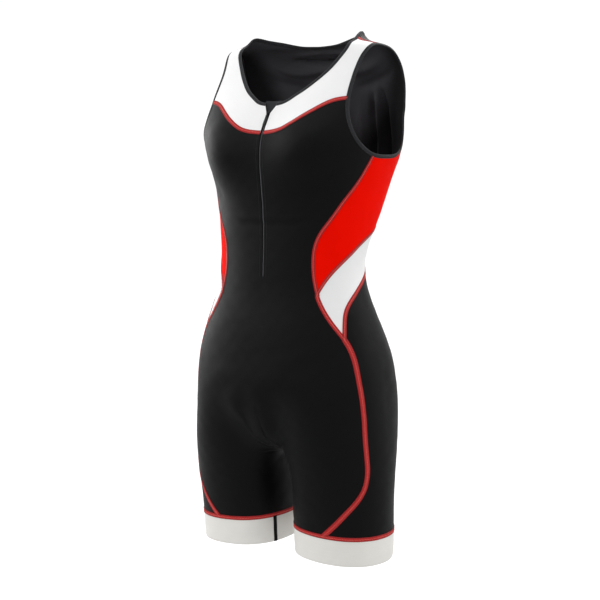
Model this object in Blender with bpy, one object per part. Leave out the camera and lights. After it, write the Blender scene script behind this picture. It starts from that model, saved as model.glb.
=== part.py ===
"""A women's sleeveless triathlon suit, filled out as it is worn, with nobody in it.

Metres, +Z up. The front faces -Y and the wearer's left is +X. The origin is midway between the two
shoulder seams, where the shoulders hold the suit up.

The whole suit follows one surface, the body form. A point on its left half has two coordinates:
    around   0 at the centre of the front (or the inseam), 0.5 at the side, 1 at the centre of the back
    row      the height, which near the shoulder goes on inwards over it, towards the neck
Every seam is a curve in those coordinates, and every cut piece is the area between its seams.
"""

import math

import bmesh
import bpy
import numpy as np
from mathutils.geometry import delaunay_2d_cdt

# Cloth
CLOTH = 0.0012
SEAM_GAP = 0.0003
MESH_STEP = 0.028
SEAM_STEP = 0.018
EDGE_STEP = 0.010
EDGE_CLEAR = 0.6
HALF_GIRTH = 0.46
WELD = 1e-6
STRAIGHT = 0.995

# Edges
BINDING_WIDTH = 0.006
BINDING_THICK = 0.0022
BAND_THICK = 0.0016
HEM_ROW = -0.774
HEM_END = -0.816
HEM_TILT = 0.06
INSEAM_TAPE = 0.005
INSEAM_TURN = 0.06
INSEAM_SWING = 0.10

# Rows where the panels are made in separate nodes, so that their collision pieces stay thin
WAIST_ROW = -0.350
THIGH_ROW = -0.673

# Crotch
CROTCH = -0.656
RISE_TOP = -0.520
RISE_ROUND = 2.4
RISE_REACH = 0.20
SOFTEN = 0.026
SOFTEN_AROUND = 0.10
SOFTEN_FADE = 0.100
SOFTEN_SHARES = ((-1.0, 1), (-0.67, 2), (-0.33, 3), (0.0, 3), (0.33, 3), (0.67, 2), (1.0, 1))
ARCH_HALF = 0.018
ARCH_FALL = 0.055
ARCH_ROUND = 2.2
CROTCH_STEPS = (0.0003, 0.0015, 0.004, 0.009, 0.017, 0.029, 0.046)
CROTCH_COLUMNS = (0.022, 0.048, 0.080, 0.115)
CROTCH_CLEAR = 0.004

# Zip
NECK_CORNER_X = 0.0105
NECK_CORNER_ROW = -0.110
ZIP_GAP_X = 0.0035
ZIP_JOIN_ROW = -0.122
YOKE_ROW = -0.1515
SLIT_X = 0.0009
ZIP_END = -0.373
SLIT_TAPER = 0.002
TAPE_WIDTH = 0.010
TAPE_THICK = 0.0010
TAPE_DEPTH = 0.0019
TAPE_SHOW = 0.0010
TAPE_IN = 0.0019
CHAIN_HALF = 0.0015
CHAIN_THICK = 0.0015
CHAIN_DEPTH = 0.0017
CHAIN_TOP = -0.1245
GUARD_THICK = 0.0010
GUARD_DEPTH = 0.0046
GUARD_SIDE_DEPTH = 0.0034
GUARD_FLAT = 0.006
GUARD_COLUMNS = ((-1, 0.014), (-1, 0.0095), (-1, 0.005), (1, 0.0), (1, 0.005), (1, 0.0095), (1, 0.014))
GUARD_TOP = -0.1005

# Slider and pull tab, about a point on the form: across, up the zip, and out of the form
SLIDER_ROW = -0.1225
SLIDER_BLOCKS = (
    # half_across, low, high, under, over
    (0.0025, -0.0045, 0.0045, -0.0003, 0.0009),
    (0.0008, 0.0015, 0.0040, -0.0030, 0.0002),
    (0.0022, -0.0040, 0.0042, -0.0036, -0.00275),
)
LUG_INNER = 0.0011
LUG_OUTER = 0.0019
LUG_HALF = 0.0010
LUG_TOP = 0.0035
PIN_OUT = 0.0026
PIN_RADIUS = 0.0005
ROUND_SIDES = 16
EYE_RADIUS = 0.0014
EYE_HOLE = 0.0008
EYE_HALF = 0.0008
PULL_LENGTH = 0.0220
PULL_THICK = 0.0010
PULL_REST = 0.0016
# distance from the pin, half the tab's width there
PULL_OUTLINE = (
    (0.0010, 0.0008),
    (0.0031, 0.0008),
    (0.0042, 0.0014),
    (0.0090, 0.0017),
    (0.0170, 0.0023),
    (0.0205, 0.0023),
    (0.0216, 0.0018),
    (0.0220, 0.0009),
)

# The trunk: a rounded oval at each row, from front_y to back_y
# row, height, half_width, front_y, back_y, square_front, square_back
TRUNK = (
    (0.055, 0.0220, 0.093, -0.004, 0.047, 2.2, 2.4),
    (0.045, 0.0130, 0.097, -0.008, 0.049, 2.3, 2.5),
    (0.035, 0.0030, 0.102, -0.012, 0.051, 2.4, 2.6),
    (0.025, -0.0060, 0.109, -0.016, 0.054, 2.5, 2.7),
    (0.010, -0.0120, 0.123, -0.020, 0.059, 2.6, 2.9),
    (-0.005, -0.0160, 0.137, -0.024, 0.065, 2.8, 3.1),
    (-0.020, -0.0240, 0.147, -0.029, 0.073, 3.0, 3.3),
    (-0.050, -0.0500, 0.157, -0.040, 0.088, 3.7, 3.5),
    (-0.090, -0.0900, 0.162, -0.066, 0.103, 3.3, 3.3),
    (-0.130, -0.1300, 0.163, -0.090, 0.113, 2.9, 3.0),
    (-0.155, -0.1550, 0.161, -0.103, 0.119, 2.6, 2.9),
    (-0.180, -0.1800, 0.155, -0.108, 0.121, 2.3, 2.9),
    (-0.230, -0.2300, 0.141, -0.106, 0.114, 2.2, 2.7),
    (-0.280, -0.2800, 0.132, -0.102, 0.093, 2.3, 2.5),
    (-0.320, -0.3200, 0.125, -0.101, 0.069, 2.3, 2.4),
    (-0.355, -0.3550, 0.122, -0.102, 0.058, 2.3, 2.3),
    (-0.400, -0.4000, 0.130, -0.105, 0.060, 2.3, 2.3),
    (-0.450, -0.4500, 0.149, -0.114, 0.075, 2.3, 2.3),
    (-0.500, -0.5000, 0.164, -0.121, 0.090, 2.3, 2.4),
    (-0.550, -0.5500, 0.169, -0.126, 0.098, 2.3, 2.5),
    (-0.600, -0.6000, 0.171, -0.123, 0.094, 2.3, 2.5),
    (-0.656, -0.6560, 0.172, -0.115, 0.083, 2.3, 2.4),
    (-0.700, -0.7000, 0.171, -0.108, 0.078, 2.3, 2.4),
)

# One leg: a rounded oval at each row
# row, half_width, front_y, back_y, square
LEG = (
    (-0.500, 0.0860, -0.114, 0.098, 2.1),
    (-0.560, 0.0865, -0.113, 0.092, 2.1),
    (-0.610, 0.0870, -0.110, 0.084, 2.1),
    (-0.656, 0.0875, -0.105, 0.074, 2.1),
    (-0.700, 0.0870, -0.098, 0.068, 2.1),
    (-0.740, 0.0860, -0.092, 0.067, 2.1),
    (-0.775, 0.0855, -0.087, 0.067, 2.1),
    (-0.830, 0.0840, -0.083, 0.067, 2.1),
)

# The cups: a soft rise on each side of the chest
CUP_X = 0.078
CUP_Z = -0.180
CUP_WIDE = 0.052
CUP_ABOVE = 0.070
CUP_BELOW = 0.048
CUP_RISE = 0.020
CUP_SPREAD = 0.15

# Seams: around, row
NECK_FRONT = (
    (0.082, -0.1070),
    (0.131, -0.0985),
    (0.165, -0.0919),
    (0.236, -0.0740),
    (0.303, -0.0515),
    (0.345, -0.0330),
    (0.366, -0.0225),
    (0.402, 0.0000),
)
NECK_SHOULDER = (0.452, 0.025)
NECK_BACK = (
    (0.500, 0.033),
    (0.578, 0.030),
    (0.635, 0.025),
    (0.744, 0.012),
    (0.870, 0.006),
)
NECK_BACK_ROW = 0.004
ARM_SHOULDER = (0.462, -0.004)
ARM_YOKE = (
    (0.428, -0.0150),
    (0.405, -0.0260),
    (0.388, -0.0355),
    (0.374, -0.0450),
    (0.362, -0.0545),
    (0.351, -0.0650),
    (0.338, -0.0810),
)
ARM_CHEST = (0.328, -0.101)
ARM_FRONT = (
    (0.327, -0.127),
    (0.348, -0.156),
    (0.382, -0.174),
)
ARM_SIDE = (0.434, -0.187)
ARM_RED = (
    (0.512, -0.190),
    (0.590, -0.186),
)
ARM_REAR = (0.640, -0.168)
ARM_BACK = (
    (0.652, -0.140),
    (0.620, -0.100),
    (0.585, -0.062),
    (0.561, -0.035),
    (0.540, -0.017),
    (0.506, -0.007),
)
YOKE_SEAM = (
    (0.060, -0.1500),
    (0.098, -0.1470),
    (0.152, -0.1375),
    (0.205, -0.1252),
    (0.258, -0.1120),
    (0.296, -0.1040),
)
RED_FRONT = (
    (0.400, -0.223),
    (0.347, -0.258),
    (0.315, -0.284),
    (0.290, -0.306),
    (0.282, -0.325),
    (0.284, -0.349),
    (0.291, -0.374),
)
WAIST_FRONT = (0.302, -0.399)
WHITE_FRONT = (
    (0.325, -0.427),
    (0.347, -0.446),
)
HIP_POINT = (0.369, -0.464)
LEG_SEAM = (
    (0.383, -0.484),
    (0.390, -0.516),
    (0.396, -0.546),
    (0.403, -0.586),
    (0.410, -0.632),
    (0.417, -0.668),
    (0.411, -0.690),
    (0.393, -0.708),
    (0.362, -0.727),
    (0.326, -0.748),
)
HEM_POINT = 0.276
RED_WHITE = (
    (0.345, -0.376),
    (0.405, -0.352),
    (0.484, -0.327),
    (0.568, -0.308),
    (0.670, -0.297),
)
BACK_POINT = (0.778, -0.300)
RED_BACK = (
    (0.675, -0.205),
    (0.715, -0.240),
    (0.757, -0.272),
)
WHITE_BACK = (
    (0.765, -0.324),
    (0.710, -0.343),
    (0.640, -0.358),
    (0.569, -0.371),
    (0.500, -0.387),
    (0.432, -0.407),
    (0.400, -0.422),
    (0.382, -0.441),
)

# name, colour, roughness, metallic
FINISHES = (
    ("black_lycra", (0.018, 0.018, 0.020), 0.55, 0.0),
    ("white_lycra", (0.82, 0.82, 0.81), 0.55, 0.0),
    ("red_lycra", (0.78, 0.010, 0.004), 0.50, 0.0),
    ("hem_grip", (0.74, 0.73, 0.70), 0.60, 0.0),
    ("dark_binding", (0.035, 0.037, 0.040), 0.60, 0.0),
    ("zip_tape", (0.020, 0.020, 0.022), 0.70, 0.0),
    ("zip_plastic", (0.020, 0.020, 0.020), 0.35, 0.0),
)


# ---------------------------------------------------------------- the body form


def smooth(x):
    x = np.clip(x, 0, 1)
    return x * x * (3 - 2 * x)


def spline(xs, ys):
    """A natural cubic spline through the points, flat beyond its ends."""
    order = np.argsort(xs)
    xs, ys = np.asarray(xs, float)[order], np.asarray(ys, float)[order]
    steps, rises = np.diff(xs), np.diff(ys)
    matrix, right = np.eye(len(xs)), np.zeros(len(xs))
    for i in range(1, len(xs) - 1):
        matrix[i, i - 1 : i + 2] = steps[i - 1], 2 * (steps[i - 1] + steps[i]), steps[i]
        right[i] = 6 * (rises[i] / steps[i] - rises[i - 1] / steps[i - 1])
    bends = np.linalg.solve(matrix, right)

    def value(x):
        x = np.clip(x, xs[0], xs[-1])
        i = np.clip(np.searchsorted(xs, x) - 1, 0, len(steps) - 1)
        step, after, before = steps[i], x - xs[i], xs[i + 1] - x
        return (
            (bends[i] * before**3 + bends[i + 1] * after**3) / (6 * step)
            + (ys[i] / step - bends[i] * step / 6) * before
            + (ys[i + 1] / step - bends[i + 1] * step / 6) * after
        )

    return value


def columns(table):
    rows = np.array(table)
    return [spline(rows[:, 0], rows[:, i]) for i in range(1, rows.shape[1])]


TRUNK_AT = columns(TRUNK)
LEG_AT = columns(LEG)


def oval(across, along, half_width, half_depth, square):
    """How far an oval with squared corners reaches in the direction (across, along)."""
    wide = (np.abs(across) / half_width) ** square
    deep = (np.abs(along) / half_depth) ** square
    return (wide + deep) ** (-1 / square)


def trunk(around, row):
    height, half_width, front, back, square_front, square_back = (at(row) for at in TRUNK_AT)
    across, along = np.sin(math.pi * around), np.cos(math.pi * around)
    square = square_front + (square_back - square_front) * smooth((1 - along) / 2)
    reach = oval(across, along, half_width, (back - front) / 2, square)
    x, y = reach * across, (front + back) / 2 - reach * along
    fall = np.where(height > CUP_Z, CUP_ABOVE, CUP_BELOW)
    cup = np.exp(-(((np.abs(x) - CUP_X) / CUP_WIDE) ** 2) - ((height - CUP_Z) / fall) ** 2)
    cup *= CUP_RISE * smooth((along + 0.25) / 0.5)
    spread = CUP_SPREAD * cup * np.clip(x / CUP_X, -1, 1)
    return np.stack([x + spread, y - cup, height], -1)


def leg(around, row):
    half_width, front, back, square = (at(row) for at in LEG_AT)
    across, along = -np.cos(2 * math.pi * around), np.sin(2 * math.pi * around)
    reach = oval(across, along, half_width, (back - front) / 2, square)
    below = np.clip((CROTCH - row) / ARCH_FALL, 0, 1)
    arch = ARCH_HALF * (1 - (1 - below) ** ARCH_ROUND) ** (1 / ARCH_ROUND)
    x = half_width + reach * across + arch * np.clip(-across, 0, 1) ** 2
    y = (front + back) / 2 - reach * along
    tilt = HEM_TILT * smooth((CROTCH - row) / (CROTCH - HEM_ROW))
    return np.stack([x, y, row - tilt * (x - half_width)], -1)


def unsoftened(around, row):
    """The trunk, blended into the leg. It turns sharply all along the crotch's row."""
    fall = np.clip((RISE_TOP - row) / (RISE_TOP - CROTCH), 0, 1)
    sharp = 1 - (1 - fall**RISE_ROUND) ** (1 / RISE_ROUND)
    near_centre = 1 - smooth(np.minimum(around, 1 - around) / RISE_REACH)
    share = smooth(fall) + (sharp - smooth(fall)) * near_centre
    share = np.where(row <= CROTCH, 1.0, share)[..., None]
    return trunk(around, row) * (1 - share) + leg(around, row) * share


def form(around, row):
    """The body form's point, or points, on the left half."""
    around, row = np.broadcast_arrays(np.asarray(around, float), np.asarray(row, float))
    from_centre = np.minimum(around % 1, 1 - around % 1)
    reach = SOFTEN * smooth(from_centre / SOFTEN_AROUND) * smooth(2 - np.abs(row - CROTCH) / SOFTEN_FADE * 2)
    total = sum(weight for _, weight in SOFTEN_SHARES)
    return sum(unsoftened(around, row + reach * share) * weight for share, weight in SOFTEN_SHARES) / total


def outward(around, row):
    """The unit normal of the form, pointing out of the body."""
    around, row = np.broadcast_arrays(np.asarray(around, float), np.asarray(row, float))
    step = 0.002
    above = row > CROTCH - 1e-6
    low = np.where(above, np.clip(around - step, 0, 1), around - step)
    high = np.where(above, np.clip(around + step, 0, 1), around + step)
    normal = np.cross(form(high, row) - form(low, row), form(around, row + step) - form(around, row - step))
    centred = above & ((around < 1e-6) | (around > 1 - 1e-6))
    normal[..., 0] = np.where(centred, 0, normal[..., 0])
    return normal / np.linalg.norm(normal, axis=-1, keepdims=True)


def around_at(x, row):
    """The front's around coordinate that lies x to the left of the centre."""
    front, back = TRUNK_AT[2](row), TRUNK_AT[3](row)
    return np.arctan2(x, (back - front) / 2) / math.pi


# ---------------------------------------------------------------- seams


def in_metres(points):
    return np.asarray(points, float) * (HALF_GIRTH, 1)


def lengths(points):
    """How far along a run of points each one is."""
    return np.concatenate([[0], np.cumsum(np.linalg.norm(np.diff(points, axis=0), axis=1))])


def spaced(path, start, end, step):
    """Points on the path from start to end, one step apart on the form itself."""
    fine = np.linspace(start, end, 200)
    at = lengths(form(*path(fine).T))
    wanted = np.linspace(0, at[-1], max(2, round(at[-1] / step) + 1))
    return path(np.interp(wanted, at, fine))


def smooth_path(points):
    points = np.array(points, float)
    at = lengths(in_metres(points))
    around, row = spline(at, points[:, 0]), spline(at, points[:, 1])
    return at, lambda x: np.stack([around(x), row(x)], -1)


def curves(stretches, step, closed=False):
    """One smooth curve through the stretches' points, cut where one stretch meets the next."""
    points, cuts = [stretches[0][0]], [0]
    for stretch in stretches:
        points += stretch[1:]
        cuts.append(len(points) - 1)
    lead = 3 if closed else 0
    at, path = smooth_path((*points[-1 - lead : -1], *points, *points[1 : 1 + lead]) if closed else points)
    return [spaced(path, at[i + lead], at[j + lead], step) for i, j in zip(cuts, cuts[1:])]


def straight(start, end, step):
    start, end = np.array(start, float), np.array(end, float)
    return spaced(lambda x: start + np.multiply.outer(x, end - start), 0, 1, step)


def crotch_rows(end, step):
    """Rows from the crotch to an end above or below it, closest where the form turns fastest."""
    way = math.copysign(1, end - CROTCH)
    near = [0, *CROTCH_STEPS]
    count = round((abs(end - CROTCH) - near[-1]) / step) + 1
    return CROTCH + way * np.array([*near[:-1], *np.linspace(near[-1], abs(end - CROTCH), count)])


def split(found, name, row):
    """Cuts a seam that runs downwards in two, at its point nearest the row."""
    at = np.abs(found[name][:, 1] - row).argmin()
    found[name + "_high"], found[name + "_low"] = found[name][: at + 1], found[name][at:]


def seams():
    """Every seam of the left half, by name, each sampled once for the pieces on both its sides."""
    corner = (around_at(NECK_CORNER_X, NECK_CORNER_ROW), NECK_CORNER_ROW)
    zip_join = (around_at(ZIP_GAP_X, ZIP_JOIN_ROW), ZIP_JOIN_ROW)
    yoke_start = (around_at(ZIP_GAP_X, YOKE_ROW), YOKE_ROW)
    slit_top = (around_at(SLIT_X, YOKE_ROW), YOKE_ROW)
    slit_low = (around_at(SLIT_X, ZIP_END + SLIT_TAPER), ZIP_END + SLIT_TAPER)
    hem_point = (HEM_POINT, HEM_ROW)
    found = {}
    found["neck_front"], found["neck_back"] = curves(
        ((corner, *NECK_FRONT, NECK_SHOULDER), (NECK_SHOULDER, *NECK_BACK, (1.0, NECK_BACK_ROW))), EDGE_STEP
    )
    found["arm_yoke"], found["arm_front"], found["arm_red"], found["arm_back"] = curves(
        (
            (ARM_SHOULDER, *ARM_YOKE, ARM_CHEST),
            (ARM_CHEST, *ARM_FRONT, ARM_SIDE),
            (ARM_SIDE, *ARM_RED, ARM_REAR),
            (ARM_REAR, *ARM_BACK, ARM_SHOULDER),
        ),
        EDGE_STEP,
        closed=True,
    )
    found["shoulder"] = straight(NECK_SHOULDER, ARM_SHOULDER, EDGE_STEP)
    found["zip_yoke"] = np.concatenate(
        [straight(corner, zip_join, EDGE_STEP), straight(zip_join, yoke_start, EDGE_STEP)[1:]]
    )
    (found["yoke"],) = curves(((yoke_start, *YOKE_SEAM, ARM_CHEST),), SEAM_STEP)
    found["yoke_start"] = np.array([slit_top, yoke_start])
    found["slit"] = np.concatenate([straight(slit_top, slit_low, SEAM_STEP), [(0.0, ZIP_END)]])
    found["red_front"], found["white_front"], found["leg"] = curves(
        (
            (ARM_SIDE, *RED_FRONT, WAIST_FRONT),
            (WAIST_FRONT, *WHITE_FRONT, HIP_POINT),
            (HIP_POINT, *LEG_SEAM, hem_point),
        ),
        SEAM_STEP,
    )
    (found["red_white"],) = curves(((WAIST_FRONT, *RED_WHITE, BACK_POINT),), SEAM_STEP)
    found["red_back"], found["white_back"] = curves(
        ((ARM_REAR, *RED_BACK, BACK_POINT), (BACK_POINT, *WHITE_BACK, HIP_POINT)), SEAM_STEP
    )
    rows = crotch_rows(HEM_ROW, SEAM_STEP)
    found["inseam"] = np.stack([INSEAM_TURN * smooth((CROTCH - rows) / INSEAM_SWING), rows], -1)
    rows = crotch_rows(ZIP_END, MESH_STEP)[::-1]
    found["centre_front"] = np.stack([0 * rows, rows], -1)
    rows = crotch_rows(NECK_BACK_ROW, MESH_STEP)[::-1]
    found["centre_back"] = np.stack([0 * rows + 1, rows], -1)
    found["hem_front"] = straight(found["inseam"][-1], hem_point, SEAM_STEP)
    found["hem_back"] = straight(hem_point, found["inseam"][-1] + (1, 0), SEAM_STEP)
    found["inseam_back"] = found["inseam"] + (1, 0)
    for name, row in (
        ("white_back", WAIST_ROW),
        ("centre_back", WAIST_ROW),
        ("leg", THIGH_ROW),
        ("inseam", THIGH_ROW),
        ("inseam_back", THIGH_ROW),
    ):
        split(found, name, row)
    found["waist"] = straight(found["centre_back_low"][0], found["white_back_low"][0], SEAM_STEP)
    found["thigh_front"] = straight(found["inseam_low"][0], found["leg_low"][0], SEAM_STEP)
    found["thigh_back"] = straight(found["inseam_back_low"][0], found["leg_low"][0], SEAM_STEP)
    return found


# ---------------------------------------------------------------- solids


def finish_materials():
    for name, colour, roughness, metallic in FINISHES:
        material = bpy.data.materials.new(name)
        material.use_nodes = True
        shader = material.node_tree.nodes["Principled BSDF"]
        shader.inputs["Base Color"].default_value = (*colour, 1)
        shader.inputs["Roughness"].default_value = roughness
        shader.inputs["Metallic"].default_value = metallic
        material.diffuse_color = (*colour, 1)


def new_object(name, points, faces, finish):
    """An object of its own from one closed body, whose doubled points on the centre are merged."""
    mesh = bpy.data.meshes.new(name)
    mesh.from_pydata([tuple(p) for p in points], [], [tuple(int(i) for i in f) for f in faces])
    work = bmesh.new()
    work.from_mesh(mesh)
    bmesh.ops.remove_doubles(work, verts=work.verts, dist=WELD)
    bmesh.ops.triangulate(work, faces=work.faces)
    bmesh.ops.recalc_face_normals(work, faces=work.faces)
    work.to_mesh(mesh)
    work.free()
    mesh.materials.append(bpy.data.materials[finish])
    made = bpy.data.objects.new(name, mesh)
    bpy.context.scene.collection.objects.link(made)
    return made


def both_sides(name, points, faces, finish):
    new_object(name + "_left", points, faces, finish)
    new_object(name + "_right", points * (-1, 1, 1), faces, finish)


def thicken(points, normals, faces, walls, thick, depth=0.0):
    """Both skins of a piece whose middle lies depth under the form, and the walls round its edge."""
    count = len(points)
    over, under = points + normals * (thick / 2 - depth), points - normals * (thick / 2 + depth)
    made = [tuple(f) for f in faces]
    made += [tuple(i + count for i in reversed(f)) for f in faces]
    made += [(b, a, a + count, b + count) for a, b in walls]
    return np.concatenate([over, under]), made


def grid_solid(points, normals, thick, depth=0.0, ring=False):
    """A sheet from a grid of points, closed into a ring along its first side if asked."""
    rows, across = points.shape[:2]
    index = np.arange(rows * across).reshape(rows, across)
    if ring:
        index = np.concatenate([index, index[:1]])
    quads = zip(index[:-1, :-1].flat, index[1:, :-1].flat, index[1:, 1:].flat, index[:-1, 1:].flat)
    edge = [*zip(index[:-1, 0], index[1:, 0]), *zip(index[1:, -1], index[:-1, -1])]
    if not ring:
        edge += [*zip(index[-1, :-1], index[-1, 1:]), *zip(index[0, 1:], index[0, :-1])]
    flat, out = points.reshape(-1, 3), normals.reshape(-1, 3)
    return thicken(flat, out, list(quads), edge, thick, depth)


# ---------------------------------------------------------------- cut pieces


def inside(points, outline):
    """Which points lie inside the outline, by counting the edges to their right."""
    hit = np.zeros(len(points), bool)
    for (x0, y0), (x1, y1) in zip(outline, np.roll(outline, -1, axis=0)):
        if y0 != y1:
            crosses = (points[:, 1] < y0) != (points[:, 1] < y1)
            hit ^= crosses & (points[:, 0] < x0 + (points[:, 1] - y0) * (x1 - x0) / (y1 - y0))
    return hit


def edge_distance(points, outline):
    nearest = np.full(len(points), np.inf)
    for start, end in zip(outline, np.roll(outline, -1, axis=0)):
        along = end - start
        share = np.clip((points - start) @ along / (along @ along), 0, 1)
        nearest = np.minimum(nearest, np.linalg.norm(points - start - share[:, None] * along, axis=1))
    return nearest


def inner_points(outline):
    """Points to mesh a piece with: a staggered lattice, and a finer grid where the crotch turns."""
    low, high = outline.min(axis=0), outline.max(axis=0)
    pitch = MESH_STEP * math.sqrt(3) / 2
    lattice = []
    for i, row in enumerate(np.arange(low[1] + pitch / 2, high[1], pitch)):
        shift = MESH_STEP / 2 * (i % 2)
        lattice += [(x, row) for x in np.arange(low[0] + shift, high[0], MESH_STEP)]
    lattice = np.array(lattice)
    reach = CROTCH_COLUMNS[-1] * HALF_GIRTH + MESH_STEP / 2
    from_centre = np.minimum(lattice[:, 0], HALF_GIRTH - lattice[:, 0])
    at_crotch = (from_centre < reach) & (np.abs(lattice[:, 1] - CROTCH) < CROTCH_STEPS[-1] + MESH_STEP / 2)
    lattice = lattice[~at_crotch & (edge_distance(lattice, outline) > EDGE_CLEAR * MESH_STEP)]
    rows = [CROTCH, *(CROTCH + d for d in CROTCH_STEPS), *(CROTCH - d for d in CROTCH_STEPS)]
    columns_in = [*CROTCH_COLUMNS, *(1 - c for c in CROTCH_COLUMNS)]
    finer = in_metres([(c, row) for c in columns_in for row in rows])
    finer = finer[edge_distance(finer, outline) > CROTCH_CLEAR]
    points = np.concatenate([lattice, finer])
    return points[inside(points, outline)]


def take_in(before, point, after, normal, gap_before, gap_after):
    """The move of an outline's point that takes the piece in by a gap from the edge on each side."""
    ways = []
    for edge in (point - before, after - point):
        way = np.cross(normal, edge)
        ways.append(way / np.linalg.norm(way))
    if ways[0] @ ways[1] > STRAIGHT:
        return (ways[0] * gap_before + ways[1] * gap_after) / 2
    return np.linalg.solve([*ways, normal], (gap_before, gap_after, 0))


def cut_piece(seams_round, weld=()):
    """The solid between the seams, given in turn round it. It has no wall on the welded ones."""
    outline, gaps = [], []
    for name, points, gap in seams_round:
        outline += list(points[:-1])
        gaps += [None if name in weld else gap] * (len(points) - 1)
    outline = np.array(outline)
    turning = np.cross(outline, np.roll(outline, -1, axis=0)).sum()
    if turning < 0:
        outline, gaps = outline[::-1], gaps[-2::-1] + gaps[-1:]
    count = len(outline)
    flat = in_metres(outline)
    flat = np.concatenate([flat, inner_points(flat)])
    edges = [(i, (i + 1) % count) for i in range(count)]
    verts, _, faces, *_ = delaunay_2d_cdt([tuple(p) for p in flat], edges, [], 1, 1e-9)
    if len(verts) != len(flat):
        raise ValueError("a piece's outline crosses itself")
    around, row = (flat / (HALF_GIRTH, 1)).T
    points, normals = form(around, row), outward(around, row)
    rim = points[:count].copy()
    for i in range(count):
        gap_before, gap_after = gaps[i - 1] or 0, gaps[i] or 0
        points[i] += take_in(rim[i - 1], rim[i], rim[(i + 1) % count], normals[i], gap_before, gap_after)
    walls = [(i, (i + 1) % count) for i in range(count) if gaps[i] is not None]
    return thicken(points, normals, faces, walls, CLOTH)


def panels(at):
    half = SEAM_GAP / 2

    def round_of(*names):
        """The named seams in turn. A minus sign runs one backwards."""
        found = []
        for name in names:
            plain = name.lstrip("-")
            points = at[plain][::-1] if name != plain else at[plain]
            found.append((plain, points, 0 if plain in ("slit", "zip_yoke") else half))
        return found

    front = round_of("-slit", "yoke_start", "yoke", "arm_front", "red_front", "white_front", "leg_high")
    front += round_of("-thigh_front", "-inseam_high", "-centre_front")
    points, faces = cut_piece(front, weld=("centre_front",))
    faces += [tuple(i + len(points) for i in f) for f in faces]
    new_object("front_panel", np.concatenate([points, points * (-1, 1, 1)]), faces, "black_lycra")
    thigh = round_of("thigh_front", "leg_low", "-hem_front", "-inseam_low")
    both_sides("front_thigh", *cut_piece(thigh), "black_lycra")
    upper = round_of("centre_back_high", "waist", "-white_back_high", "-red_back", "arm_back", "-shoulder")
    upper += round_of("neck_back")
    both_sides("back_upper", *cut_piece(upper), "black_lycra")
    seat = round_of("centre_back_low", "inseam_back_high", "thigh_back", "-leg_high", "-white_back_low", "-waist")
    both_sides("back_seat", *cut_piece(seat), "black_lycra")
    thigh = round_of("inseam_back_low", "-hem_back", "-leg_low", "-thigh_back")
    both_sides("back_thigh", *cut_piece(thigh), "black_lycra")
    yoke = round_of("neck_front", "shoulder", "arm_yoke", "-yoke", "-zip_yoke")
    both_sides("yoke", *cut_piece(yoke), "white_lycra")
    red = round_of("arm_red", "red_back", "-red_white", "-red_front")
    both_sides("side_red", *cut_piece(red), "red_lycra")
    white = round_of("red_white", "white_back", "-white_front")
    both_sides("side_white", *cut_piece(white), "white_lycra")


# ---------------------------------------------------------------- bindings and bands


def binding_grid(seam, ring=False):
    """Points and normals of a strip that starts at the seam and runs out into the opening."""
    points, normals = form(*seam.T), outward(*seam.T)
    if ring:
        way = np.roll(points, -1, axis=0) - np.roll(points, 1, axis=0)
    else:
        way = np.gradient(points, axis=0)
    out = np.cross(normals, way)
    out /= np.linalg.norm(out, axis=1, keepdims=True)
    inner, outer = points + out * SEAM_GAP / 2, points + out * (SEAM_GAP / 2 + BINDING_WIDTH)
    return np.stack([inner, outer], 1), np.stack([normals, normals], 1)


def bindings(at):
    neck = np.concatenate([at["neck_front"], at["neck_back"][1:]])
    points, normals = binding_grid(neck)
    points[-1, :, 0] = 0
    mirror = np.array((-1, 1, 1))
    points = np.concatenate([points, points[-2::-1] * mirror])
    normals = np.concatenate([normals, normals[-2::-1] * mirror])
    new_object("neck_binding", *grid_solid(points, normals, BINDING_THICK), "dark_binding")
    arm = np.concatenate([at[n][:-1] for n in ("arm_yoke", "arm_front", "arm_red", "arm_back")])
    points, normals = binding_grid(arm, ring=True)
    both_sides("armhole_binding", *grid_solid(points, normals, BINDING_THICK, ring=True), "dark_binding")


def bands(at):
    """The band round each leg, and the tape that covers its inside seam."""
    around = np.concatenate([at["hem_front"][:-1, 0], at["hem_back"][:-1, 0]])
    rows = np.linspace(HEM_ROW - SEAM_GAP / 2, HEM_END, 3)
    around, row = np.meshgrid(around, rows, indexing="ij")
    points, normals = form(around, row), outward(around, row)
    both_sides("hem_band", *grid_solid(points, normals, BAND_THICK, ring=True), "hem_grip")
    middle, middle_out = points[0], normals[0]
    sides = []
    for other in (-1, 1):
        towards = points[other] - middle
        share = INSEAM_TAPE / 2 / np.linalg.norm(towards, axis=1, keepdims=True)
        sides.append((middle + towards * share, middle_out + (normals[other] - middle_out) * share))
    tape = np.stack([sides[0][0], middle, sides[1][0]], 1)
    tape_out = np.stack([sides[0][1], middle_out, sides[1][1]], 1)
    rise = -(BAND_THICK / 2 + SEAM_GAP + TAPE_THICK / 2)
    both_sides("inseam_tape", *grid_solid(tape, tape_out, TAPE_THICK, rise), "black_lycra")


# ---------------------------------------------------------------- the zip


def lane(rows, xs, thick, depths):
    """A sheet behind the front: at each row its columns are x across and their own depth under the form."""
    points, normals = [], []
    for row, across in zip(rows, xs):
        x = np.array(across)
        around = around_at(np.abs(x), row)
        out = outward(around, row)
        at = form(around, row) - out * np.array(depths)[:, None]
        side = np.where(x < 0, -1, 1)
        points.append(np.stack([x, at[:, 1], at[:, 2]], -1))
        normals.append(np.stack([out[:, 0] * side, out[:, 1], out[:, 2]], -1))
    return grid_solid(np.array(points), np.array(normals), thick)


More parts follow.
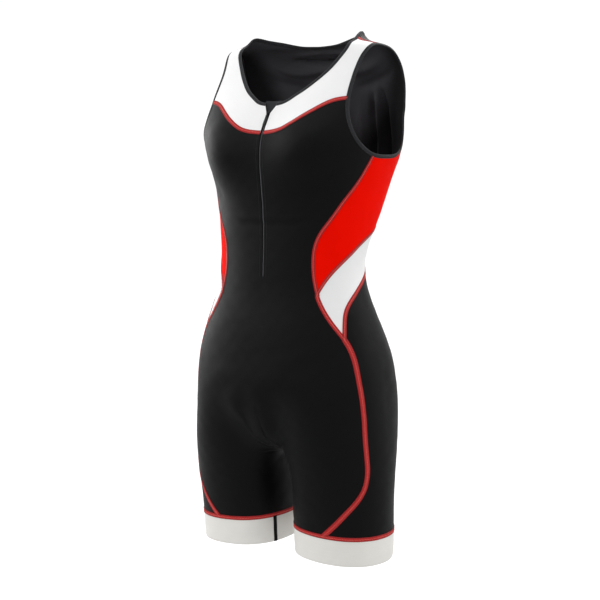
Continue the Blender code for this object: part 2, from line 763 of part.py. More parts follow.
def zip_parts(at):
    yoke_rows = at["zip_yoke"][:, 1]
    slit_rows = at["slit"][1:, 1]
    rows = np.concatenate([yoke_rows, slit_rows])
    edge = np.interp(-rows, (-NECK_CORNER_ROW, -ZIP_JOIN_ROW), (NECK_CORNER_X - TAPE_SHOW, TAPE_IN))
    xs = [(x, x + TAPE_WIDTH / 2, x + TAPE_WIDTH) for x in edge]
    both_sides("zip_tape", *lane(rows, xs, TAPE_THICK, (TAPE_DEPTH,) * 3), "zip_tape")
    chain_rows = [CHAIN_TOP, *rows[rows < CHAIN_TOP - EDGE_STEP / 2]]
    xs = [(-CHAIN_HALF, 0, CHAIN_HALF)] * len(chain_rows)
    new_object("zip_chain", *lane(chain_rows, xs, CHAIN_THICK, (CHAIN_DEPTH,) * 3), "zip_tape")
    guard_rows = [GUARD_TOP, *yoke_rows, slit_rows[0]]
    xs = [tuple(side * x for side, x in GUARD_COLUMNS)] * len(guard_rows)
    depths = [GUARD_SIDE_DEPTH if x > GUARD_FLAT else GUARD_DEPTH for _, x in GUARD_COLUMNS]
    new_object("zip_guard", *lane(guard_rows, xs, GUARD_THICK, depths), "zip_tape")


def slider_frame():
    """The slider's place: its middle, up the zip, and out of the form."""
    middle, out = form(0, SLIDER_ROW), outward(0, SLIDER_ROW)
    return middle, np.cross(out, (1, 0, 0)), out


def prism(outline, low, high, frame):
    """A solid from an outline in a frame's first two directions, drawn along its third."""
    origin, first, second, third = (np.array(v, float) for v in frame)
    ring = [origin + first * a + second * b for a, b in outline]
    count = len(ring)
    points = np.array([p + third * low for p in ring] + [p + third * high for p in ring])
    faces = [tuple(range(count)), tuple(range(2 * count - 1, count - 1, -1))]
    faces += [(i, i + count, (i + 1) % count + count, (i + 1) % count) for i in range(count)]
    return points, faces


def circle(radius):
    turns = np.arange(ROUND_SIDES) * 2 * math.pi / ROUND_SIDES
    return [(radius * math.cos(t), radius * math.sin(t)) for t in turns]


def joined(name, solids, cutters, finish):
    """One object from solids joined by Booleans, with the cutters taken out of it."""
    parts = [new_object(f"{name}_{i}", *solid, finish) for i, solid in enumerate([*solids, *cutters])]
    for i, other in enumerate(parts[1:], 1):
        step = parts[0].modifiers.new(f"join_{i}", "BOOLEAN")
        step.operation = "UNION" if i < len(solids) else "DIFFERENCE"
        step.solver = "EXACT"
        step.object = other
    graph = bpy.context.evaluated_depsgraph_get()
    mesh = bpy.data.meshes.new_from_object(parts[0].evaluated_get(graph))
    for part in parts:
        bpy.data.objects.remove(part)
    mesh.name = name
    made = bpy.data.objects.new(name, mesh)
    bpy.context.scene.collection.objects.link(made)
    return made


def slider():
    middle, up, out = slider_frame()
    across = np.array((1.0, 0, 0))
    pin = middle + out * PIN_OUT
    solids = []
    for half, low, high, under, over in SLIDER_BLOCKS:
        outline = ((-half, low), (half, low), (half, high), (-half, high))
        solids.append(prism(outline, under, over, (middle, across, up, out)))
    sunk = SLIDER_BLOCKS[0][4] - PIN_RADIUS
    lug = ((-LUG_HALF, sunk), (LUG_HALF, sunk), (LUG_HALF, LUG_TOP), (-LUG_HALF, LUG_TOP))
    for side in (-1, 1):
        ends = sorted((side * LUG_INNER, side * LUG_OUTER))
        solids.append(prism(lug, *ends, (middle, up, out, across)))
    reach = (LUG_INNER + LUG_OUTER) / 2
    solids.append(prism(circle(PIN_RADIUS), -reach, reach, (pin, up, out, across)))
    joined("zip_slider", solids, (), "zip_plastic")
    return pin


def pull(pin):
    """The pull tab, hanging from the slider's pin and resting against the front."""
    across = np.array((1.0, 0, 0))
    rows = np.linspace(SLIDER_ROW, YOKE_ROW, 30)
    resting = form(0, rows) + outward(0, rows) * PULL_REST
    reach = np.linalg.norm(resting - pin, axis=1)
    end = np.array([np.interp(PULL_LENGTH, reach, resting[:, i]) for i in range(3)])
    down = (end - pin) / np.linalg.norm(end - pin)
    out = np.cross(down, across)
    outline = [(half, along) for along, half in PULL_OUTLINE]
    outline += [(-half, along) for along, half in reversed(PULL_OUTLINE)]
    middle = np.zeros(3)
    tab = prism(outline, -PULL_THICK / 2, PULL_THICK / 2, (middle, across, down, out))
    eye = prism(circle(EYE_RADIUS), -EYE_HALF, EYE_HALF, (middle, down, out, across))
    hole = prism(circle(EYE_HOLE), -2 * EYE_HALF, 2 * EYE_HALF, (middle, down, out, across))
    made = joined("zip_pull", (eye, tab), (hole,), "zip_plastic")
    made.location = pin


def main():
    for stale in list(bpy.data.objects):
        bpy.data.objects.remove(stale)
    finish_materials()
    at = seams()
    panels(at)
    bindings(at)
    bands(at)
    zip_parts(at)
    pull(slider())


main()
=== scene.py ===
# %% [markdown]
# # A women's triathlon suit
#
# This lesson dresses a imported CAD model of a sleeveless, one-piece triathlon suit. The suit is filled
# out as it is worn, with nobody in it. It is black stretch knit with white shoulder yokes, red sides,
# white hip pieces, elastic leg bands, dark bound edges, red cover stitching and a short front zip.
#
# The CAD solids say where every cut piece lies. Here each one is cut again from much finer cloth, and
# gets its folds, seams and threads. Lengths are metres, the front faces -Y and the wearer's left is +X.

import math

import bpy
import numpy as np
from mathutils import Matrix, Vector
from mathutils.geometry import delaunay_2d_cdt


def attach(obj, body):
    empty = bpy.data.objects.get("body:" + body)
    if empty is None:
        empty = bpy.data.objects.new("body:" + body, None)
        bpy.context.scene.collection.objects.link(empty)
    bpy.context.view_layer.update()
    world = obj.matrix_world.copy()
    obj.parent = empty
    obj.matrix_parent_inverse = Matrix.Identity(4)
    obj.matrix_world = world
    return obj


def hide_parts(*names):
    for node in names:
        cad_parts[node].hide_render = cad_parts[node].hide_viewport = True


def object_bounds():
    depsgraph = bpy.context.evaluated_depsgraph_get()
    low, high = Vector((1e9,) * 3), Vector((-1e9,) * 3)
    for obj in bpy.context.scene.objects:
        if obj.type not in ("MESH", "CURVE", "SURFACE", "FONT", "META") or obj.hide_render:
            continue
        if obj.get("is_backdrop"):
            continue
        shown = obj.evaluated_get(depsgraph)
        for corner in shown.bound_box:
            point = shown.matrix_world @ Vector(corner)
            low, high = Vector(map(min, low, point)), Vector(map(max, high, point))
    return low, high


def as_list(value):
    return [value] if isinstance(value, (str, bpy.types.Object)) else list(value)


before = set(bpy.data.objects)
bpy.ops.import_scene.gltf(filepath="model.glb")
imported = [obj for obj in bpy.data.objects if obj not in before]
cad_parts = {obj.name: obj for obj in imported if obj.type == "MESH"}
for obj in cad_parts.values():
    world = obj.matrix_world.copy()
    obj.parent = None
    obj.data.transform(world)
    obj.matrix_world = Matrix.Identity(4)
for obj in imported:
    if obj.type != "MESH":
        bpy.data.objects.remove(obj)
cad_low, cad_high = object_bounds()
scene = bpy.context.scene
SIDES = ((1, "left"), (-1, "right"))
print("CAD box in mm:", [round(1000 * (b - a)) for a, b in zip(cad_low, cad_high)])

# %% [markdown]
# ## The studio
#
# A garment for a catalogue is lit softly from all round, so that black cloth still shows its shape: a
# white room gives the even light, two softboxes on the wearer's right model the chest and hips, a
# small one above lights the shoulders, one reaches round the near side, and one high behind draws a
# thin bright edge. The camera and the softboxes all look at the middle of the suit.

# %% Camera and softboxes
VIEW_ROUND = 34.0
VIEW_DOWN = 6.2
VIEW_AWAY = 2.0
VIEW_LENS = 74.1
SENSOR = 36.0
VIEW_MIDDLE = (0.0, 0.0, -0.418)
# name, degrees round from the front towards the wearer's left, degrees up, distance, size, watts
SOFTBOXES = (
    ("softbox_side", -92.0, 14.0, 1.5, 1.1, 9.0),
    ("softbox_front", -46.0, 26.0, 2.0, 1.6, 10.0),
    ("softbox_top", 5.0, 56.0, 2.2, 0.8, 4.0),
    ("softbox_near", 114.0, 16.0, 2.2, 1.3, 10.0),
    ("softbox_back", 172.0, 55.0, 2.2, 1.3, 28.0),
)


def place(name, data):
    """A new object in the scene, which holds a mesh, a camera or a light."""
    made = bpy.data.objects.new(name, data)
    scene.collection.objects.link(made)
    return made


def aim(thing, turn, rise, away):
    """Puts a camera or a light that far from the suit's middle, looking at it. Turn 0 is its front."""
    turn, rise = math.radians(turn), math.radians(rise)
    back = np.array((math.sin(turn) * math.cos(rise), -math.cos(turn) * math.cos(rise), math.sin(rise)))
    thing.location = np.array(VIEW_MIDDLE) + back * away
    thing.rotation_euler = Vector(-back).to_track_quat("-Z", "Y").to_euler()


camera = place("camera", bpy.data.cameras.new("camera"))
camera.data.lens = VIEW_LENS
camera.data.sensor_width = SENSOR
aim(camera, VIEW_ROUND, VIEW_DOWN, VIEW_AWAY)
scene.camera = camera

for name, turn, rise, away, size, watts in SOFTBOXES:
    lamp = bpy.data.lights.new(name, "AREA")
    lamp.shape = "DISK"
    lamp.size = size
    lamp.energy = watts
    aim(place(name, lamp), turn, rise, away)
print("softboxes:", len(SOFTBOXES))

# %% [markdown]
# ## Helpers for node trees
#
# Every material and the stitch tree are wired with one small function. It adds a node, sets its own
# settings, and fills its inputs with numbers or with what another node gives out. Colours are written
# as the hex values one would read off a swatch, and one function turns them linear for the shaders.

# %% Node and colour helpers
MATH = "ShaderNodeMath"


def add(tree, kind, inputs=(), **settings):
    """Adds a node. Its inputs go by name or in order, and take a value, an output or a node."""
    made = tree.nodes.new(kind)
    for key, value in settings.items():
        setattr(made, key, value)
    for key, value in inputs.items() if isinstance(inputs, dict) else enumerate(inputs):
        if isinstance(value, bpy.types.Node):
            value = value.outputs[0]
        if isinstance(value, bpy.types.NodeSocket):
            tree.links.new(value, made.inputs[key])
        else:
            made.inputs[key].default_value = value
    return made


def linear(colour):
    """A hex sRGB colour as linear red, green, blue and alpha."""
    parts = [int(colour[i : i + 2], 16) / 255 for i in (1, 3, 5)]
    return (*(c / 12.92 if c <= 0.04045 else ((c + 0.055) / 1.055) ** 2.4 for c in parts), 1.0)


def surface(name, roughness, sheen=0.0, sheen_roughness=0.4, gloss=0.5):
    """A new material, its tree and its shader, with the values that are the same all over it."""
    made = bpy.data.materials.new(name)
    made.use_nodes = True
    shader = made.node_tree.nodes["Principled BSDF"]
    shader.inputs["Roughness"].default_value = roughness
    shader.inputs["Sheen Weight"].default_value = sheen
    shader.inputs["Sheen Roughness"].default_value = sheen_roughness
    shader.inputs["Specular IOR Level"].default_value = gloss
    return made, made.node_tree, shader


# %% [markdown]
# ## The room and the floor
#
# The room is one even white light, seen a little brighter than it shines so that the background stays
# clean. The floor is where the wearer would stand. It is grey paint that glows only for the camera, so
# it looks white but throws little light up between the legs.

# %% The room and the floor
ROOM_LIGHT = 0.95
ROOM_SEEN = 1.05
FLOOR = -1.62
FLOOR_HALF = 15.0
FLOOR_PAINT = "#cbcbcb"
FLOOR_ROUGHNESS = 0.9
FLOOR_GLOW = 0.6

room = bpy.data.worlds.new("white_room")
scene.world = room
room.use_nodes = True
room.node_tree.nodes.clear()
seen = add(room.node_tree, "ShaderNodeLightPath").outputs["Is Camera Ray"]
strength = add(room.node_tree, MATH, (seen, ROOM_SEEN - ROOM_LIGHT, ROOM_LIGHT), operation="MULTIPLY_ADD")
glow = add(room.node_tree, "ShaderNodeBackground", {"Color": (1, 1, 1, 1), "Strength": strength})
add(room.node_tree, "ShaderNodeOutputWorld", {"Surface": glow})
scene.view_settings.view_transform = "Standard"
scene.view_settings.look = "None"

floor_mesh = bpy.data.meshes.new("floor")
corners = [(x * FLOOR_HALF, y * FLOOR_HALF, FLOOR) for x, y in ((-1, -1), (1, -1), (1, 1), (-1, 1))]
floor_mesh.from_pydata(corners, [], [(0, 1, 2, 3)])
floor = place("floor", floor_mesh)
floor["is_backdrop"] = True
floor_paint, floor_tree, floor_shader = surface("matt_floor_paint", FLOOR_ROUGHNESS)
floor_shader.inputs["Base Color"].default_value = linear(FLOOR_PAINT)
floor_shader.inputs["Emission Color"].default_value = linear("#ffffff")
seen = add(floor_tree, "ShaderNodeLightPath").outputs["Is Camera Ray"]
floor_glow = add(floor_tree, MATH, (seen, FLOOR_GLOW), operation="MULTIPLY")
floor_tree.links.new(floor_glow.outputs[0], floor_shader.inputs["Emission Strength"])
floor_mesh.materials.append(floor_paint)
print("floor at", FLOOR, "m")

# %% [markdown]
# ## The cloths
#
# The suit is cut from warp-knit nylon with elastane. Its face is a fine field of upright loops, a
# little under a millimetre wide, which shows as a soft grain and a faint bloom of light along edges
# that turn away. Each cloth piece carries a map called "cloth", in metres along the cloth, so the
# loops keep their real size and follow the fabric round the body. They are drawn at about one and a
# half times their real width, which is still finer than anything but a close view can show. The wrong
# side of the black, seen through the neck and armholes, is a duller knit. Round the neck it is painted
# paler grey: painted light, standing in for the light that falls in through the neck opening.

# %% Knit: one pattern of loops for every knitted piece
WALE = 0.0011
COURSE = 0.0009
LOOP_DEPTH = 0.00012
LOOP_SWELL = 0.25
BUMP = 0.6
WORN = 0.07
SHEEN_ROUGHNESS = 0.3
MOTTLE_SCALE = 38.0
MOTTLE_DETAIL = 3.0
BLACK_KNIT = "#060607"
BLACK_INSIDE = "#161618"
WHITE_KNIT = "#e2e2e2"
RED_KNIT = "#e60c00"
# the paler painted light inside the neck, how x, y and z count towards the distance from it, and where it
# fades
NECK_PAINTED_LIGHT = "#38383b"
NECK_PAINTED_LIGHT_OVAL = (1.3, 0.0, 1.0)
NECK_PAINTED_LIGHT_WITHIN = 0.135
NECK_PAINTED_LIGHT_UP_TO = 0.185


def cloth_map(tree, across, along):
    """The cloth map's two directions, counted in loops or ribs instead of metres."""
    split = add(tree, "ShaderNodeSeparateXYZ", (add(tree, "ShaderNodeUVMap", uv_map="cloth"),))
    sizes = zip(split.outputs, (across, along))
    return [add(tree, MATH, (metres, size), operation="DIVIDE") for metres, size in sizes]


def ridges(tree, count):
    """Rounded ridges side by side, one for each whole number that the count passes."""
    turn = add(tree, MATH, (count, math.pi), operation="MULTIPLY")
    wave = add(tree, MATH, (turn,), operation="SINE")
    return add(tree, MATH, (wave,), operation="ABSOLUTE")


def waves(tree, count):
    """A smooth wave that rises and falls once for each whole number that the count passes."""
    turn = add(tree, MATH, (count, 2 * math.pi), operation="MULTIPLY")
    return add(tree, MATH, (turn,), operation="SINE")


def mottled(tree, colour, amount, scale=MOTTLE_SCALE):
    """The colour with slow, faint changes of depth, as dyed cloth has, and the noise that makes them."""
    place_on = add(tree, "ShaderNodeTexCoord").outputs["Object"]
    noise = add(tree, "ShaderNodeTexNoise", {"Vector": place_on, "Scale": scale, "Detail": MOTTLE_DETAIL})
    dark, light = (
        (*(min(1, c * (1 + change)) for c in linear(colour)[:3]), 1.0) for change in (-amount, amount)
    )
    noise = noise.outputs["Fac"]
    return add(tree, "ShaderNodeMix", {0: noise, 6: dark, 7: light}, data_type="RGBA").outputs[2], noise


def dye_and_raise(tree, shader, dyed, height, distance, strength):
    """Gives a shader its colour and its raised pattern."""
    bump = add(tree, "ShaderNodeBump", {"Height": height, "Distance": distance, "Strength": strength})
    tree.links.new(dyed, shader.inputs["Base Color"])
    tree.links.new(bump.outputs[0], shader.inputs["Normal"])


def painted_light_at_neck(tree, dyed):
    """The colour, turning to a paler painted light inside an oval round the neck."""
    place_on = add(tree, "ShaderNodeTexCoord").outputs["Object"]
    oval = add(tree, "ShaderNodeVectorMath", (place_on, NECK_PAINTED_LIGHT_OVAL), operation="MULTIPLY")
    away = add(tree, "ShaderNodeVectorMath", (oval,), operation="LENGTH").outputs["Value"]
    span = (away, NECK_PAINTED_LIGHT_WITHIN, NECK_PAINTED_LIGHT_UP_TO)
    share = add(tree, "ShaderNodeMapRange", span, interpolation_type="SMOOTHSTEP")
    colours = {0: share, 6: linear(NECK_PAINTED_LIGHT), 7: dyed}
    return add(tree, "ShaderNodeMix", colours, data_type="RGBA").outputs[2]


def knit(name, colour, roughness, sheen, mottle, gloss, painted_neck_light=False):
    """Stretch knit: columns of loops whose legs slope to each side in turn."""
    made, tree, shader = surface(name, roughness, sheen, SHEEN_ROUGHNESS, gloss)
    across, along = cloth_map(tree, WALE, COURSE)
    leg_slope = add(tree, MATH, (across, 0.5), operation="PINGPONG")
    climb = add(tree, MATH, (along, leg_slope), operation="ADD")
    loop = add(tree, MATH, (waves(tree, climb), LOOP_SWELL, 1 - LOOP_SWELL), operation="MULTIPLY_ADD")
    height = add(tree, MATH, (ridges(tree, across), loop), operation="MULTIPLY")
    dyed, noise = mottled(tree, colour, mottle)
    dye_and_raise(tree, shader, painted_light_at_neck(tree, dyed) if painted_neck_light else dyed, height, LOOP_DEPTH, BUMP)
    worn = add(tree, MATH, (noise, 2 * WORN, roughness - WORN), operation="MULTIPLY_ADD")
    tree.links.new(worn.outputs[0], shader.inputs["Roughness"])
    return made


black_knit = knit("black_stretch_knit", BLACK_KNIT, 0.48, 0.04, 0.05, 0.09)
# painted light: the wrong side is painted paler round the neck, for the light that falls in there
black_inside = knit("black_knit_wrong_side", BLACK_INSIDE, 0.70, 0.03, 0.05, 0.04, painted_neck_light=True)
white_knit = knit("white_stretch_knit", WHITE_KNIT, 0.60, 0.05, 0.02, 0.10)
red_knit = knit("red_stretch_knit", RED_KNIT, 0.55, 0.0, 0.04, 0.01)
print("knits:", [m.name for m in (black_knit, black_inside, white_knit, red_knit)])

# %% [markdown]
# ## Elastic, tape, thread and plastic
#
# The leg bands and the bound edges are woven elastic: fine ribs run across them, with a shallow
# furrow every few millimetres along their length. The zip's tapes are woven in a herringbone. The
# cover stitching is textured polyester thread, soft and slightly fluffy. The slider and its tab are
# moulded acetal, which has a low sheen and the faintest orange peel.

# %% Elastic, tape, thread and plastic
RIB = 0.0012
FURROW = 0.0060
FURROW_SOFT = 0.35
TWILL = 0.0016
# how far from the binding's folded edge its painted shade reaches
BINDING_EDGE_SHADE = 0.0011
FILAMENT_SCALE = 900.0
FILAMENT_DEPTH = 0.00008
PEEL_SCALE = 1800.0
PEEL_DEPTH = 0.00003
HEM_WHITE = "#dcdad5"
BINDING_GREY = "#242527"
GUARD_GREY = "#2a2b2d"
TAPE_BLACK = "#0b0b0c"
TOOTH_GREY = "#66666a"
THREAD_RED = "#cf3a36"
# the looper web's red, darkened as painted shade between its threads
THREAD_SHADED_WEB = "#ab1f20"
# the edge needle rows' red, darkened as painted shade, and the middle row's, paled as a painted highlight
THREAD_SHADED_EDGE = "#6e0c10"
THREAD_PAINTED_HIGHLIGHT = "#e2746c"
THREAD_BLACK = "#26262a"
THREAD_WHITE = "#e4e4e2"
ACETAL_BLACK = "#0b0b0c"


def woven(name, roughness=0.8):
    """The start of a woven material, which has a faint bloom and little gloss."""
    return surface(name, roughness, 0.10, SHEEN_ROUGHNESS, 0.15)


def elastic(name, colour, roughness=0.7, furrow_height=1.0, shade_reach=0.0):
    """Woven elastic: ribs across it, furrows along it, and, if given a reach, painted shade that darkens it
    within that reach of its folded edge.
    """
    made, tree, shader = woven(name, roughness)
    along, across = cloth_map(tree, RIB, FURROW)
    ribs, furrows = ridges(tree, along), ridges(tree, across)
    soft = add(tree, MATH, (furrows, FURROW_SOFT), operation="POWER")
    swell = add(tree, MATH, (soft, furrow_height), operation="MULTIPLY")
    height = add(tree, MATH, (ribs, swell), operation="ADD")
    dyed, _ = mottled(tree, colour, 0.03)
    # painted shade: near-black within that reach of where the cross-section starts, the binding's folded
    # edge
    if shade_reach:
        out = add(tree, MATH, (across, FURROW / shade_reach), operation="MULTIPLY")
        unshaded_share = add(tree, MATH, (out, 1.0), operation="MINIMUM")
        colours = {0: unshaded_share, 6: linear(TAPE_BLACK), 7: dyed}
        dyed = add(tree, "ShaderNodeMix", colours, data_type="RGBA").outputs[2]
    dye_and_raise(tree, shader, dyed, height, LOOP_DEPTH, BUMP)
    return made


def herringbone(name, colour):
    """Woven tape: slanting ridges that turn back every few threads."""
    made, tree, shader = woven(name)
    across, along = cloth_map(tree, TWILL, TWILL)
    turned_back = add(tree, MATH, (across, 1.0), operation="PINGPONG")
    slant = add(tree, MATH, (turned_back, along), operation="ADD")
    dye_and_raise(tree, shader, mottled(tree, colour, 0.06)[0], waves(tree, slant), LOOP_DEPTH, 0.5)
    return made


def thread(name, colour):
    """Polyester thread, mottled so finely that it reads as twisted filaments."""
    made, tree, shader = surface(name, 0.5, 0.15, SHEEN_ROUGHNESS, 0.2)
    dye_and_raise(tree, shader, *mottled(tree, colour, 0.14, FILAMENT_SCALE), FILAMENT_DEPTH, 0.5)
    return made


def moulded(name, colour, roughness=0.40):
    """Moulded plastic, smooth but for a very fine orange peel."""
    made, tree, shader = surface(name, roughness, gloss=0.25)
    dye_and_raise(tree, shader, *mottled(tree, colour, 0.05, PEEL_SCALE), PEEL_DEPTH, 0.4)
    return made


hem_elastic = elastic("white_leg_elastic", HEM_WHITE)
binding_elastic = elastic("dark_binding_elastic", BINDING_GREY, 0.6, 0.4, BINDING_EDGE_SHADE)
zip_tape = herringbone("black_zip_tape", TAPE_BLACK)
guard_cloth = herringbone("dark_guard_cloth", GUARD_GREY)
red_thread = thread("red_cover_thread", THREAD_RED)
shaded_red_web = thread("red_looper_web_painted_shade", THREAD_SHADED_WEB)
shaded_edge_thread = thread("red_needle_thread_painted_shade", THREAD_SHADED_EDGE)
highlight_painted_thread = thread("red_needle_thread_painted_highlight", THREAD_PAINTED_HIGHLIGHT)
black_thread = thread("black_topstitch_thread", THREAD_BLACK)
white_thread = thread("white_topstitch_thread", THREAD_WHITE)
tooth_nylon = moulded("grey_nylon_teeth", TOOTH_GREY, 0.45)
slider_acetal = moulded("black_acetal", ACETAL_BLACK)
print("materials:", len(bpy.data.materials))

# %% [markdown]
# ## The body form
#
# The whole suit follows one surface, the shape of the body that fills it. It is the same surface that
# the CAD solids were made from, so the seams below land where the solids' edges lie, or within about
# three millimetres of them. A point on the wearer's left half has two coordinates. One goes round it,
# from 0 at the centre of the front to 1 at the centre of the back. The other is its row, the height,
# which near the shoulder runs on over it towards the neck. The trunk is a stack of rounded ovals, each
# leg another, and the two are blended. Two soft cups rise from the chest.

# %% Sizes of the form
HALF_GIRTH = 0.46
HEM_ROW = -0.774
HEM_END = -0.816
HEM_TILT = 0.06
WAIST_ROW = -0.355
CROTCH = -0.656
RISE_TOP = -0.520
RISE_ROUND = 2.4
RISE_REACH = 0.20
SOFTEN = 0.026
SOFTEN_AROUND = 0.10
SOFTEN_FADE = 0.100
SOFTEN_SHARES = ((-1.0, 1), (-0.67, 2), (-0.33, 3), (0.0, 3), (0.33, 3), (0.67, 2), (1.0, 1))
ARCH_HALF = 0.018
ARCH_FALL = 0.055
ARCH_ROUND = 2.2
NORMAL_STEP = 0.002
ON_CENTRE = 1e-6

# The trunk: a rounded oval at each row, from front_y to back_y
# row, height, half_width, front_y, back_y, square_front, square_back
TRUNK = (
    (0.055, 0.0220, 0.093, -0.004, 0.047, 2.2, 2.4),
    (0.045, 0.0130, 0.097, -0.008, 0.049, 2.3, 2.5),
    (0.035, 0.0030, 0.102, -0.012, 0.051, 2.4, 2.6),
    (0.025, -0.0060, 0.109, -0.016, 0.054, 2.5, 2.7),
    (0.010, -0.0120, 0.123, -0.020, 0.059, 2.6, 2.9),
    (-0.005, -0.0160, 0.137, -0.024, 0.065, 2.8, 3.1),
    (-0.020, -0.0240, 0.147, -0.029, 0.073, 3.0, 3.3),
    (-0.050, -0.0500, 0.157, -0.040, 0.088, 3.7, 3.5),
    (-0.090, -0.0900, 0.162, -0.066, 0.103, 3.3, 3.3),
    (-0.130, -0.1300, 0.163, -0.090, 0.113, 2.9, 3.0),
    (-0.155, -0.1550, 0.161, -0.103, 0.119, 2.6, 2.9),
    (-0.180, -0.1800, 0.155, -0.108, 0.121, 2.3, 2.9),
    (-0.230, -0.2300, 0.141, -0.106, 0.114, 2.2, 2.7),
    (-0.280, -0.2800, 0.132, -0.102, 0.093, 2.3, 2.5),
    (-0.320, -0.3200, 0.125, -0.101, 0.069, 2.3, 2.4),
    (-0.355, -0.3550, 0.122, -0.102, 0.058, 2.3, 2.3),
    (-0.400, -0.4000, 0.130, -0.105, 0.060, 2.3, 2.3),
    (-0.450, -0.4500, 0.149, -0.114, 0.075, 2.3, 2.3),
    (-0.500, -0.5000, 0.164, -0.121, 0.090, 2.3, 2.4),
    (-0.550, -0.5500, 0.169, -0.126, 0.098, 2.3, 2.5),
    (-0.600, -0.6000, 0.171, -0.123, 0.094, 2.3, 2.5),
    (-0.656, -0.6560, 0.172, -0.115, 0.083, 2.3, 2.4),
    (-0.700, -0.7000, 0.171, -0.108, 0.078, 2.3, 2.4),
)

# One leg: a rounded oval at each row
# row, half_width, front_y, back_y, square
LEG = (
    (-0.500, 0.0860, -0.114, 0.098, 2.1),
    (-0.560, 0.0865, -0.113, 0.092, 2.1),
    (-0.610, 0.0870, -0.110, 0.084, 2.1),
    (-0.656, 0.0875, -0.105, 0.074, 2.1),
    (-0.700, 0.0870, -0.098, 0.068, 2.1),
    (-0.740, 0.0860, -0.092, 0.067, 2.1),
    (-0.775, 0.0855, -0.087, 0.067, 2.1),
    (-0.830, 0.0840, -0.083, 0.067, 2.1),
)

# The cups: a soft rise on each side of the chest
CUP_X = 0.078
CUP_Z = -0.180
CUP_WIDE = 0.052
CUP_ABOVE = 0.070
CUP_BELOW = 0.048
CUP_RISE = 0.020
CUP_SPREAD = 0.15
CUP_FADE = 0.25
print("rows of the trunk:", len(TRUNK), "and of the leg:", len(LEG))

# %% [markdown]
# The tables are read through smooth curves, so the form has no corners between their rows. An oval with
# squared corners gives how far each point lies from the middle of its row. Down the leg the rows tilt,
# and between the legs the form arches. A few nearby rows are averaged where the trunk becomes a leg.

# %% The form as a function of around and row
def smooth(x):
    """A soft step: 0 below 0, 1 above 1, and an S between them."""
    x = np.clip(x, 0, 1)
    return x * x * (3 - 2 * x)


def spline(xs, ys):
    """A natural cubic spline through the points, flat beyond its ends."""
    order = np.argsort(xs)
    xs, ys = np.asarray(xs, float)[order], np.asarray(ys, float)[order]
    steps, rises = np.diff(xs), np.diff(ys)
    matrix, right = np.eye(len(xs)), np.zeros(len(xs))
    for i in range(1, len(xs) - 1):
        matrix[i, i - 1 : i + 2] = steps[i - 1], 2 * (steps[i - 1] + steps[i]), steps[i]
        right[i] = 6 * (rises[i] / steps[i] - rises[i - 1] / steps[i - 1])
    bends = np.linalg.solve(matrix, right)

    def value(x):
        x = np.clip(x, xs[0], xs[-1])
        i = np.clip(np.searchsorted(xs, x) - 1, 0, len(steps) - 1)
        step, after, before = steps[i], x - xs[i], xs[i + 1] - x
        return (
            (bends[i] * before**3 + bends[i + 1] * after**3) / (6 * step)
            + (ys[i] / step - bends[i] * step / 6) * before
            + (ys[i + 1] / step - bends[i + 1] * step / 6) * after
        )

    return value


def columns(table):
    """One curve for each column of a table, over its first column."""
    rows = np.array(table)
    return [spline(rows[:, 0], rows[:, i]) for i in range(1, rows.shape[1])]


TRUNK_AT = columns(TRUNK)
LEG_AT = columns(LEG)


def oval(across, along, half_width, half_depth, square):
    """How far an oval with squared corners reaches in the direction (across, along)."""
    wide = (np.abs(across) / half_width) ** square
    deep = (np.abs(along) / half_depth) ** square
    return (wide + deep) ** (-1 / square)


def trunk(around, row):
    """A point of the trunk, with the cups."""
    height, half_width, front, back, square_front, square_back = (at(row) for at in TRUNK_AT)
    across, along = np.sin(math.pi * around), np.cos(math.pi * around)
    square = square_front + (square_back - square_front) * smooth((1 - along) / 2)
    reach = oval(across, along, half_width, (back - front) / 2, square)
    x, y = reach * across, (front + back) / 2 - reach * along
    fall = np.where(height > CUP_Z, CUP_ABOVE, CUP_BELOW)
    cup = np.exp(-(((np.abs(x) - CUP_X) / CUP_WIDE) ** 2) - ((height - CUP_Z) / fall) ** 2)
    cup *= CUP_RISE * smooth((along + CUP_FADE) / (2 * CUP_FADE))
    spread = CUP_SPREAD * cup * np.clip(x / CUP_X, -1, 1)
    return np.stack([x + spread, y - cup, height], -1)


def leg(around, row):
    """A point of the left leg. Around it goes from the inside over the front, the outside and the back."""
    half_width, front, back, square = (at(row) for at in LEG_AT)
    across, along = -np.cos(2 * math.pi * around), np.sin(2 * math.pi * around)
    reach = oval(across, along, half_width, (back - front) / 2, square)
    below = np.clip((CROTCH - row) / ARCH_FALL, 0, 1)
    arch = ARCH_HALF * (1 - (1 - below) ** ARCH_ROUND) ** (1 / ARCH_ROUND)
    x = half_width + reach * across + arch * np.clip(-across, 0, 1) ** 2
    y = (front + back) / 2 - reach * along
    tilt = HEM_TILT * smooth((CROTCH - row) / (CROTCH - HEM_ROW))
    return np.stack([x, y, row - tilt * (x - half_width)], -1)


def unsoftened(around, row):
    """The trunk, blended into the leg. It turns sharply all along the crotch's row."""
    fall = np.clip((RISE_TOP - row) / (RISE_TOP - CROTCH), 0, 1)
    sharp = 1 - (1 - fall**RISE_ROUND) ** (1 / RISE_ROUND)
    near_centre = 1 - smooth(np.minimum(around, 1 - around) / RISE_REACH)
    share = smooth(fall) + (sharp - smooth(fall)) * near_centre
    share = np.where(row <= CROTCH, 1.0, share)[..., None]
    return trunk(around, row) * (1 - share) + leg(around, row) * share


def form(around, row):
    """The body form's point, or points, on the left half."""
    around, row = np.broadcast_arrays(np.asarray(around, float), np.asarray(row, float))
    from_centre = np.minimum(around % 1, 1 - around % 1)
    reach = SOFTEN * smooth(from_centre / SOFTEN_AROUND)
    reach *= smooth(2 - np.abs(row - CROTCH) / SOFTEN_FADE * 2)
    total = sum(weight for _, weight in SOFTEN_SHARES)
    return sum(unsoftened(around, row + reach * share) * weight for share, weight in SOFTEN_SHARES) / total


